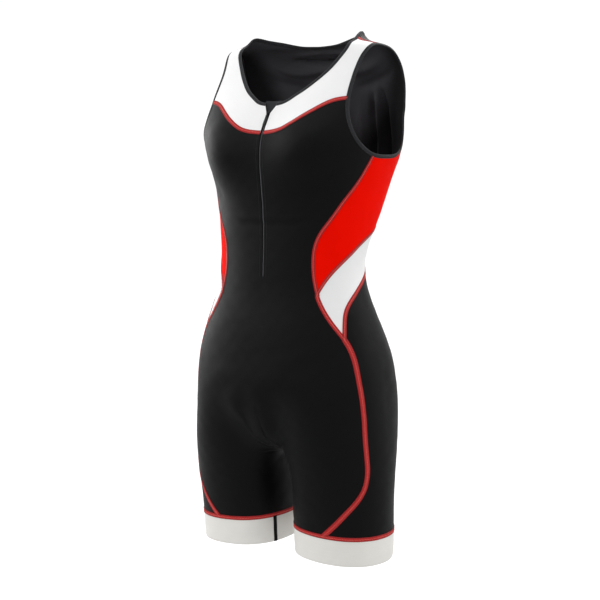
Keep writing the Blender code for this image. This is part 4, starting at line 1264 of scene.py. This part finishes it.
def inseam_tape(side):
    """A flat tape over the inside join, from just above the band to its fold."""
    rows = np.linspace(HEM_ROW + TAPE_FROM, HEM_END + TAPE_TO, TAPE_ROWS)
    path = np.stack([hem_around[0] + 0 * rows, rows], -1)
    inwards, down = TAPE_BEVEL
    low, high = BAND_THICK / 2 - down, BAND_THICK / 2 + TAPE_THICK
    edge = [(TAPE_HALF - inwards, high), (TAPE_HALF, high - down), (TAPE_HALF, low)]
    profile = [*((-aside, lift) for aside, lift in edge[::-1]), (0.0, high + TAPE_CROWN), *edge]
    return swept(path, profile, side)


leg_bands = [strip("leg_band_" + tail, [leg_band(side)], hem_elastic, ring=True) for side, tail in SIDES]
inseam_tapes = [strip("inseam_strip_" + tail, [inseam_tape(side)], black_knit) for side, tail in SIDES]
print("leg band faces:", len(leg_bands[0].data.polygons))

# %% [markdown]
# ## Cover-stitched seams
#
# The cut pieces are joined flat, edge to edge, and the join is covered by a band of red stitching five
# to nine millimetres wide: three needle rows, with a looper thread that runs to and fro between them
# so densely that it reads as a ribbon. So each seam gets a thin, slightly crowned ribbon of looper
# thread here, on both faces of the cloth, and its threads are laid on top of it below. Where ribbons
# cross, one lies a few hundredths of a millimetre higher than the other.

# %% Ribbons over the seams
WEB_THICK = 0.0003
# seam, from and to across it, height above the cloth
STITCHED = (
    ("yoke", -0.0032, 0.0033, 0.00000),
    ("shoulder", -0.0030, 0.0030, 0.00004),
    ("red_front", -0.0014, 0.0042, 0.00003),
    ("red_back", -0.0042, 0.0014, 0.00003),
    ("red_white", -0.0012, 0.0040, 0.00006),
    ("white_front", -0.0034, 0.0032, 0.00009),
    ("white_back", -0.0032, 0.0034, 0.00009),
    ("leg", -0.0042, 0.0045, 0.00012),
)
HEM_RING = (-0.0006, 0.0060, 0.00016)
# how far across, as a share of the ribbon's width, and how high, as a share of its thickness
WEB_PROFILE = ((0, -0.5), (0, 0.4), (0.06, 1), (0.5, 1.2), (0.94, 1), (1, 0.4), (1, -0.5))


def web_profile(low, high, lift, face):
    """A thin lens from low to high across the seam, on the outer (1) or inner (-1) face."""
    up = CLOTH / 2 + lift
    return [(low + share * (high - low), face * (up + tall * WEB_THICK)) for share, tall in WEB_PROFILE]


def stitched_path(name):
    """The seam's line. The leg's stops short of the hem, whose own band covers its end."""
    return seam[name][:-1] if name == "leg" else seam[name]


hem_path = np.stack([hem_around, HEM_ROW + 0 * hem_around], -1)
open_ribbons = [
    swept(stitched_path(name), web_profile(low, high, lift, face), side)
    for side in (1, -1)
    for name, low, high, lift in STITCHED
    for face in (1, -1)
]
ring_ribbons = [
    swept(hem_path, web_profile(*HEM_RING, face), side, ring=True) for side in (1, -1) for face in (1, -1)
]
# The ribbon stands for the looper thread's mass, and is painted darker with the shade that falls between
# the threads on it.
open_web = strip("seam_web", open_ribbons, shaded_red_web)
ring_web = strip("hem_web", ring_ribbons, shaded_red_web, ring=True)
print("ribbons:", len(open_ribbons) + len(ring_ribbons))

# %% [markdown]
# ## Stitches by Geometry Nodes
#
# Thousands of threads lie on those ribbons, so one Geometry Nodes tree lays them all. It takes lines
# drawn over the cloth, cuts them into even steps, and puts one short thread on each step. Each line
# carries what its threads need as attributes: the way out of the cloth, how far they slant, how long
# they are and how far along the step they start. A thread is a small bent spindle of 24 triangles, and
# a needle thread is twice as stout. The tree ends in Realize Instances and Set Material, and the
# result is kept as a plain mesh.

# %% The thread, and the tree that lays it
THREAD_SIDES = 4
THREAD_RADIUS = 0.00019
# along the thread, how thick as a share, how high
THREAD_RINGS = ((-0.30, 0.85, 0.55), (0.0, 1.0, 0.95), (0.30, 0.85, 0.55))
THREAD_RISE = 0.00022
NEEDLE_STOUT = 2.1


def spindle(name, rings, sides, turned, dip):
    """A bead one unit long with a point at each end. Its rings are (along, radius, height)."""
    points, faces = [(-0.5, 0.0, -dip)], []
    for along, radius, height in rings:
        for i in range(sides):
            turn = 2 * math.pi * (i + turned) / sides
            points.append((along, radius * math.cos(turn), radius * math.sin(turn) + height))
    points.append((0.5, 0.0, -dip))
    end = len(points) - 1
    for i in range(sides):
        j = (i + 1) % sides
        faces += [(0, 1 + j, 1 + i), (end - sides + i, end - sides + j, end)]
        faces += [(k + i, k + j, k + sides + j, k + sides + i) for k in range(1, end - sides, sides)]
    mesh = bpy.data.meshes.new(name)
    mesh.from_pydata(points, [], faces)
    mesh.shade_smooth()
    return place(name, mesh)


def unit_thread(name, stout):
    """A thread that arches out of the cloth and dives in at both ends."""
    radius = THREAD_RADIUS * stout
    rings = [(along, radius * thick, THREAD_RISE * high) for along, thick, high in THREAD_RINGS]
    return spindle(name, rings, THREAD_SIDES, 0.5, THREAD_RISE)


def stitch_tree():
    """Lines in, threads out. Named inputs: Pitch, Shape and Finish."""
    tree = bpy.data.node_groups.new("lay_threads", "GeometryNodeTree")
    kinds = {"Lines": "Geometry", "Pitch": "Float", "Shape": "Object", "Finish": "Material"}
    for name, kind in kinds.items():
        tree.interface.new_socket(name, in_out="INPUT", socket_type="NodeSocket" + kind)
    tree.interface.new_socket("Threads", in_out="OUTPUT", socket_type="NodeSocketGeometry")
    given = add(tree, "NodeGroupInput").outputs
    kinds = {"out": "FLOAT_VECTOR", "slant": "FLOAT", "reach": "FLOAT", "phase": "FLOAT"}
    out, slant, reach, phase = (
        add(tree, "GeometryNodeInputNamedAttribute", {"Name": name}, data_type=kind).outputs["Attribute"]
        for name, kind in kinds.items()
    )
    tangent = add(tree, "GeometryNodeInputTangent")
    lines = add(tree, "GeometryNodeMeshToCurve", {"Mesh": given["Lines"]})
    cut_at = {"Curve": lines, "Length": given["Pitch"]}
    steps = add(tree, "GeometryNodeResampleCurve", cut_at, mode="LENGTH")
    ahead = add(tree, "ShaderNodeVectorMath", {0: tangent, "Scale": phase}, operation="SCALE")
    moved = add(tree, "GeometryNodeSetPosition", {"Geometry": steps, "Offset": ahead})
    axes = {"Primary Axis": out, "Secondary Axis": tangent}
    along = add(tree, "FunctionNodeAxesToRotation", axes, primary_axis="Z", secondary_axis="X")
    turn = add(tree, "FunctionNodeEulerToRotation", (add(tree, "ShaderNodeCombineXYZ", {"Z": slant}),))
    rotation = add(tree, "FunctionNodeRotateRotation", (along, turn), rotation_space="LOCAL")
    scale = add(tree, "ShaderNodeCombineXYZ", (reach, 1.0, 1.0))
    shape = add(tree, "GeometryNodeObjectInfo", {"Object": given["Shape"]}).outputs["Geometry"]
    each = {"Points": moved, "Instance": shape, "Rotation": rotation, "Scale": scale}
    laid = add(tree, "GeometryNodeInstanceOnPoints", each)
    real = add(tree, "GeometryNodeRealizeInstances", {"Geometry": laid})
    finished = add(tree, "GeometryNodeSetMaterial", {"Geometry": real, "Material": given["Finish"]})
    add(tree, "NodeGroupOutput", {"Threads": finished})
    return tree


threads_tree = stitch_tree()
thread_shape = unit_thread("unit_thread", 1.0)
needle_shape = unit_thread("unit_needle_thread", NEEDLE_STOUT)
print("faces of one thread:", len(thread_shape.data.polygons))

# %% [markdown]
# A guide mesh of bare edges carries the lines and their attributes. It goes once through the tree, and
# the threads that come out are kept while the guide is thrown away.

# %% Laying lines of threads
TOPSTITCH_REACH = 0.0021


def lay(name, lines, pitch, shape, finish):
    """One mesh of threads. Each line is (points, outs, slant, reach, phase, ring)."""
    starts = np.cumsum([0, *(len(line[0]) for line in lines)])
    edges = []
    for start, end, line in zip(starts, starts[1:], lines):
        edges += zip(range(start, end - 1), range(start + 1, end))
        if line[-1]:
            edges.append((end - 1, start))
    mesh = bpy.data.meshes.new(name + "_lines")
    mesh.from_pydata(np.concatenate([line[0] for line in lines]), edges, [])
    outs = np.concatenate([line[1] for line in lines]).astype(np.float32)
    mesh.attributes.new("out", "FLOAT_VECTOR", "POINT").data.foreach_set("vector", outs.ravel())
    for i, key in ((2, "slant"), (3, "reach"), (4, "phase")):
        values = np.repeat([line[i] for line in lines], np.diff(starts)).astype(np.float32)
        mesh.attributes.new(key, "FLOAT", "POINT").data.foreach_set("value", values)
    guide = place(name + "_lines", mesh)
    modifier = guide.modifiers.new("lay_threads", "NODES")
    modifier.node_group = threads_tree
    sockets = {item.name: item.identifier for item in threads_tree.interface.items_tree}
    for key, value in (("Pitch", pitch), ("Shape", shape), ("Finish", finish)):
        modifier[sockets[key]] = value
    graph = bpy.context.evaluated_depsgraph_get()
    threads = bpy.data.meshes.new_from_object(guide.evaluated_get(graph))
    threads.name = name
    guide.modifiers.remove(modifier)
    bpy.data.objects.remove(guide)
    print(name, len(threads.polygons), "faces")
    return place(name, threads)


def line_of(path, aside, height, side, ring=False, slant=0.0, reach=TOPSTITCH_REACH, phase=0.0):
    """A line of stitches beside a seam. Slants turn over on the right half, which is a mirror image."""
    at, out = on_suit(beside(path, aside, ring), side, height)
    return at, np.sign(height) * out, slant * side * np.sign(height), reach, phase, ring


# %% [markdown]
# Each band has a needle row along both edges and one down the middle, on both faces, since the inside
# shows through the neck and armholes. On the outside the looper thread zigzags between them, as two
# lines of slanting threads half a step apart. The zip's slit, the yokes beside it and the bound edges
# have plain rows of topstitching.

# %% Needle rows and looper threads
PITCH = 0.0026
NEEDLE_REACH = 0.0022
NEEDLE_IN = 0.0004
THREAD_UP = CLOTH / 2 + WEB_THICK
bands = [(stitched_path(name), low, high, lift, False) for name, low, high, lift in STITCHED]
bands.append((hem_path, *HEM_RING, True))
edge_needles, middle_needles, loopers = [], [], []
for side in (1, -1):
    for face in (1, -1):
        for path, low, high, lift, ring in bands:
            height = face * (THREAD_UP + lift)
            for aside in (low + NEEDLE_IN, high - NEEDLE_IN):
                edge_needles.append(line_of(path, aside, height, side, ring, 0.0, NEEDLE_REACH))
            middle = (path, (low + high) / 2, height, side, ring)
            middle_needles.append(line_of(*middle, 0.0, NEEDLE_REACH))
            if face < 0:
                continue
            width = high - low - 2 * NEEDLE_IN
            slant, reach = math.atan2(width, PITCH / 2), math.hypot(width, PITCH / 2)
            loopers += [line_of(*middle, slant, reach), line_of(*middle, -slant, reach, PITCH / 2)]
# The edge rows are dyed darker red as painted shade along the band's edges; the middle row is paler red, a
# painted highlight.
edge_threads = lay("edge_needle_rows", edge_needles, PITCH, needle_shape, shaded_edge_thread)
middle_threads = lay("middle_needle_rows", middle_needles, PITCH, needle_shape, highlight_painted_thread)
looper_threads = lay("looper_rows", loopers, PITCH, thread_shape, red_thread)

# %% Topstitching
BINDING_ROWS = (0.0007, 0.0022)
BINDING_UP = 0.9 * BINDING_THICK / 2
SLIT_ROW = 0.0045
YOKE_STITCH = 0.0048
dark_rows = []
for side in (1, -1):
    for face in (1, -1):
        for aside in BINDING_ROWS:
            dark_rows.append(line_of(neck_path, aside, face * BINDING_UP, side))
            dark_rows.append(line_of(arm_path, aside, face * BINDING_UP, side, ring=True))
    dark_rows.append(line_of(seam["slit"][:-1], SLIT_ROW, CLOTH / 2, side))
dark_threads = lay("topstitch_rows", dark_rows, PITCH, thread_shape, black_thread)
white_rows = [line_of(seam["zip_yoke"], YOKE_STITCH, CLOTH / 2, side) for side in (1, -1)]
white_threads = lay("yoke_topstitch", white_rows, PITCH, thread_shape, white_thread)

# %% [markdown]
# ## The zip
#
# The zip is set behind the front's folded edges, so only a thin line of its coil shows between them.
# Near the neck the edges spread to a small V, where the woven tapes and the soft guard behind them
# show. The tapes and the guard are thin swept strips behind the cloth, and the coil is two rows of
# nylon turns that mesh, laid by the same tree as the threads but from a rounder shape.

# %% Tapes and guard
TAPE_WIDTH = 0.0100
TAPE_DEPTH = 0.0021
TAPE_SHOW = 0.0010
TAPE_MEET = 0.0002
ZIP_TAPE_THICK = 0.0008
TAPE_SHARES = (0.0, 0.03, 0.3, 0.6, 0.97, 1.0)
ZIP_TOP_STEP = 0.004
ZIP_LOW_STEP = 0.006
GUARD_TOP = -0.1005
GUARD_END = -0.1600
GUARD_HALF = 0.0140
GUARD_DEPTH = 0.0048
GUARD_THICK = 0.0011
GUARD_ROWS = 16
GUARD_COLUMNS = 15
GUARD_CURL = 0.0012
GUARD_STEEP = 1.4
GUARD_FLAT = 0.3


def behind(rows, xs, depths, thick):
    """A thin closed strip behind the front: at each row it runs over xs, each that deep under the cloth."""
    grid = []
    for turned, height in ((1, thick / 2), (-1, -thick / 2)):
        for x, depth in list(zip(xs, depths))[::turned]:
            x = x + 0 * rows
            path = np.stack([around_at(np.abs(x), rows), rows], -1)
            left, right = (on_suit(path, side, height - depth)[0] for side in (1, -1))
            grid.append(np.where((x < 0)[:, None], right, left))
    return np.stack(grid, 1)


top_rows = np.arange(NECK_CORNER_ROW, YOKE_ROW, -ZIP_TOP_STEP)
low_rows = np.arange(YOKE_ROW, ZIP_END, -ZIP_LOW_STEP)
zip_rows = np.concatenate([top_rows, low_rows, [ZIP_END]])


def tape_edge(rows):
    """The tape's inner edge: it follows the V of the neck, and meets the other tape below it."""
    bounds = (-NECK_CORNER_ROW, -ZIP_JOIN_ROW)
    return np.interp(-rows, bounds, (NECK_CORNER_X - TAPE_SHOW, TAPE_MEET))


tapes = []
for side, tail in SIDES:
    across = [side * (tape_edge(zip_rows) + share * TAPE_WIDTH) for share in TAPE_SHARES]
    grid = behind(zip_rows, across, [TAPE_DEPTH] * len(across), ZIP_TAPE_THICK)
    tapes.append(strip("tape_" + tail, [grid], zip_tape))
guard_rows = np.linspace(GUARD_TOP, GUARD_END, GUARD_ROWS)
across = np.linspace(-GUARD_HALF, GUARD_HALF, GUARD_COLUMNS)
# the guard lies deepest behind the zip and curls forwards to its sides
curl = GUARD_CURL * smooth(np.abs(across) / GUARD_HALF * GUARD_STEEP - GUARD_FLAT)
guard_grid = behind(guard_rows, across, GUARD_DEPTH - curl, GUARD_THICK)
guard = strip("zip_shield", [guard_grid], guard_cloth)
print("tape faces:", len(tapes[0].data.polygons), "and the guard's:", len(guard.data.polygons))

# %% The coil
TOOTH_PITCH = 0.0015
TOOTH_REACH = 0.0013
TOOTH_DEPTH = 0.0004
TOOTH_X = 0.00035
TOOTH_SIDES = 6
# along one turn of the coil, radius, height
TOOTH_RINGS = ((-0.36, 0.00030, 0.0), (0.0, 0.00042, 0.0), (0.36, 0.00038, 0.0))
COIL_TOP = -0.1275
COIL_STOP = 0.001
COIL_POINTS = 160
tooth_shape = spindle("unit_tooth", TOOTH_RINGS, TOOTH_SIDES, 0.0, 0.0)
tooth_lines = []
for side in (1, -1):
    rows = np.linspace(COIL_TOP, ZIP_END + COIL_STOP, COIL_POINTS)
    path = np.stack([around_at(TOOTH_X, rows), rows], -1)
    at, out = on_suit(path, side, -TOOTH_DEPTH)
    tooth_lines.append((at, out, math.pi / 2, TOOTH_REACH, 0.0 if side > 0 else TOOTH_PITCH / 2, False))
teeth = lay("coil_teeth", tooth_lines, TOOTH_PITCH, tooth_shape, tooth_nylon)
for helper in (thread_shape, needle_shape, tooth_shape):
    bpy.data.objects.remove(helper)

# %% [markdown]
# The slider and its pull keep their CAD solids, which have the right shape, and get a moulded finish. It
# is put on the objects' own material slots, so the CAD meshes stay as they are.

# %% Slider and pull
for node in ("zip_slider", "zip_pull"):
    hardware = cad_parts[node]
    for slot in hardware.material_slots:
        slot.link = "OBJECT"
        slot.material = slider_acetal
print("slider finish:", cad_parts["zip_slider"].material_slots[0].material.name)

# %% [markdown]
# ## What each piece stands for
#
# Each fine piece here stands for the CAD solids it was drawn over, and those solids are hidden. Every
# piece of the suit hangs on one empty for the suit's body; the slider and its pull, kept from the CAD,
# do not. The finish named for each piece and the size each cloth was cut to are listed, but not
# applied. Stretch knit is cut smaller than the body, so its flat area is about six sevenths of what it
# covers when worn. The guard is sewn in unstretched.

# %% Hiding the CAD solids, hanging the pieces on the suit, and listing finishes and cut sizes
FRONT_SOLIDS = ("front_panel", "front_thigh_left", "front_thigh_right")
BACK_SOLIDS = [f"back_{part}_{tail}" for part in ("upper", "seat", "thigh") for _, tail in SIDES]
STANDS_FOR = [
    # piece, the solids it stands for, finish
    (front_cloth, FRONT_SOLIDS, "black_lycra"),
    (back_cloth, BACK_SOLIDS, "black_lycra"),
    (neck_binding, ("neck_binding",), "dark_binding"),
    (teeth, ("zip_chain",), "zip_tape"),
    (guard, ("zip_guard",), "zip_tape"),
    (open_web, (), "red_lycra"),
    (ring_web, (), "red_lycra"),
    (edge_threads, (), "red_lycra"),
    (middle_threads, (), "red_lycra"),
    (looper_threads, (), "red_lycra"),
    (dark_threads, (), "black_lycra"),
    (white_threads, (), "white_lycra"),
]
PAIRS = (
    # left and right piece, the solids' name, finish
    (yoke_cloths, "yoke", "white_lycra"),
    (red_cloths, "side_red", "red_lycra"),
    (hip_cloths, "side_white", "white_lycra"),
    (arm_bindings, "armhole_binding", "dark_binding"),
    (leg_bands, "hem_band", "hem_grip"),
    (inseam_tapes, "inseam_tape", "black_lycra"),
    (tapes, "zip_tape", "zip_tape"),
)
for pair, solid, finish in PAIRS:
    STANDS_FOR += [(piece, (f"{solid}_{tail}",), finish) for piece, (_, tail) in zip(pair, SIDES)]
for piece, solids, finish in STANDS_FOR:
    if solids:
        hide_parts(*solids)
    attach(piece, "suit")

stitching = (open_web, ring_web, edge_threads, middle_threads, looper_threads)
CUTS = (
    # pieces, widest, longest, area, and what is sewn on each
    ([front_cloth], 0.440, 0.640, 0.170, ([*stitching, *inseam_tapes],)),
    ([back_cloth], 0.560, 0.800, 0.290, ([neck_binding, dark_threads],)),
    (yoke_cloths, 0.100, 0.135, 0.0085, ([white_threads], [])),
    (red_cloths, 0.170, 0.200, 0.0200, ([arm_bindings[0]], [arm_bindings[1]])),
    (hip_cloths, 0.200, 0.140, 0.0096, ([], [])),
    (leg_bands, 0.430, 0.042, 0.0180, ([], [])),
)
for pieces, width, length, area, sewn_on in CUTS:
    for piece, sewn in zip(pieces, sewn_on):
        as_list(sewn)
print("pieces:", len(STANDS_FOR))

# %% [markdown]
# ## The end
#
# The box round the finished pieces is measured and printed, and set beside the CAD's as the script's last
# value.

# %% Sizes, and the end
low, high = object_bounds()
print("visual box in mm:", [round(1000 * (b - a), 1) for a, b in zip(low, high)])
{"cad": [list(cad_low), list(cad_high)], "visual": [list(low), list(high)]}
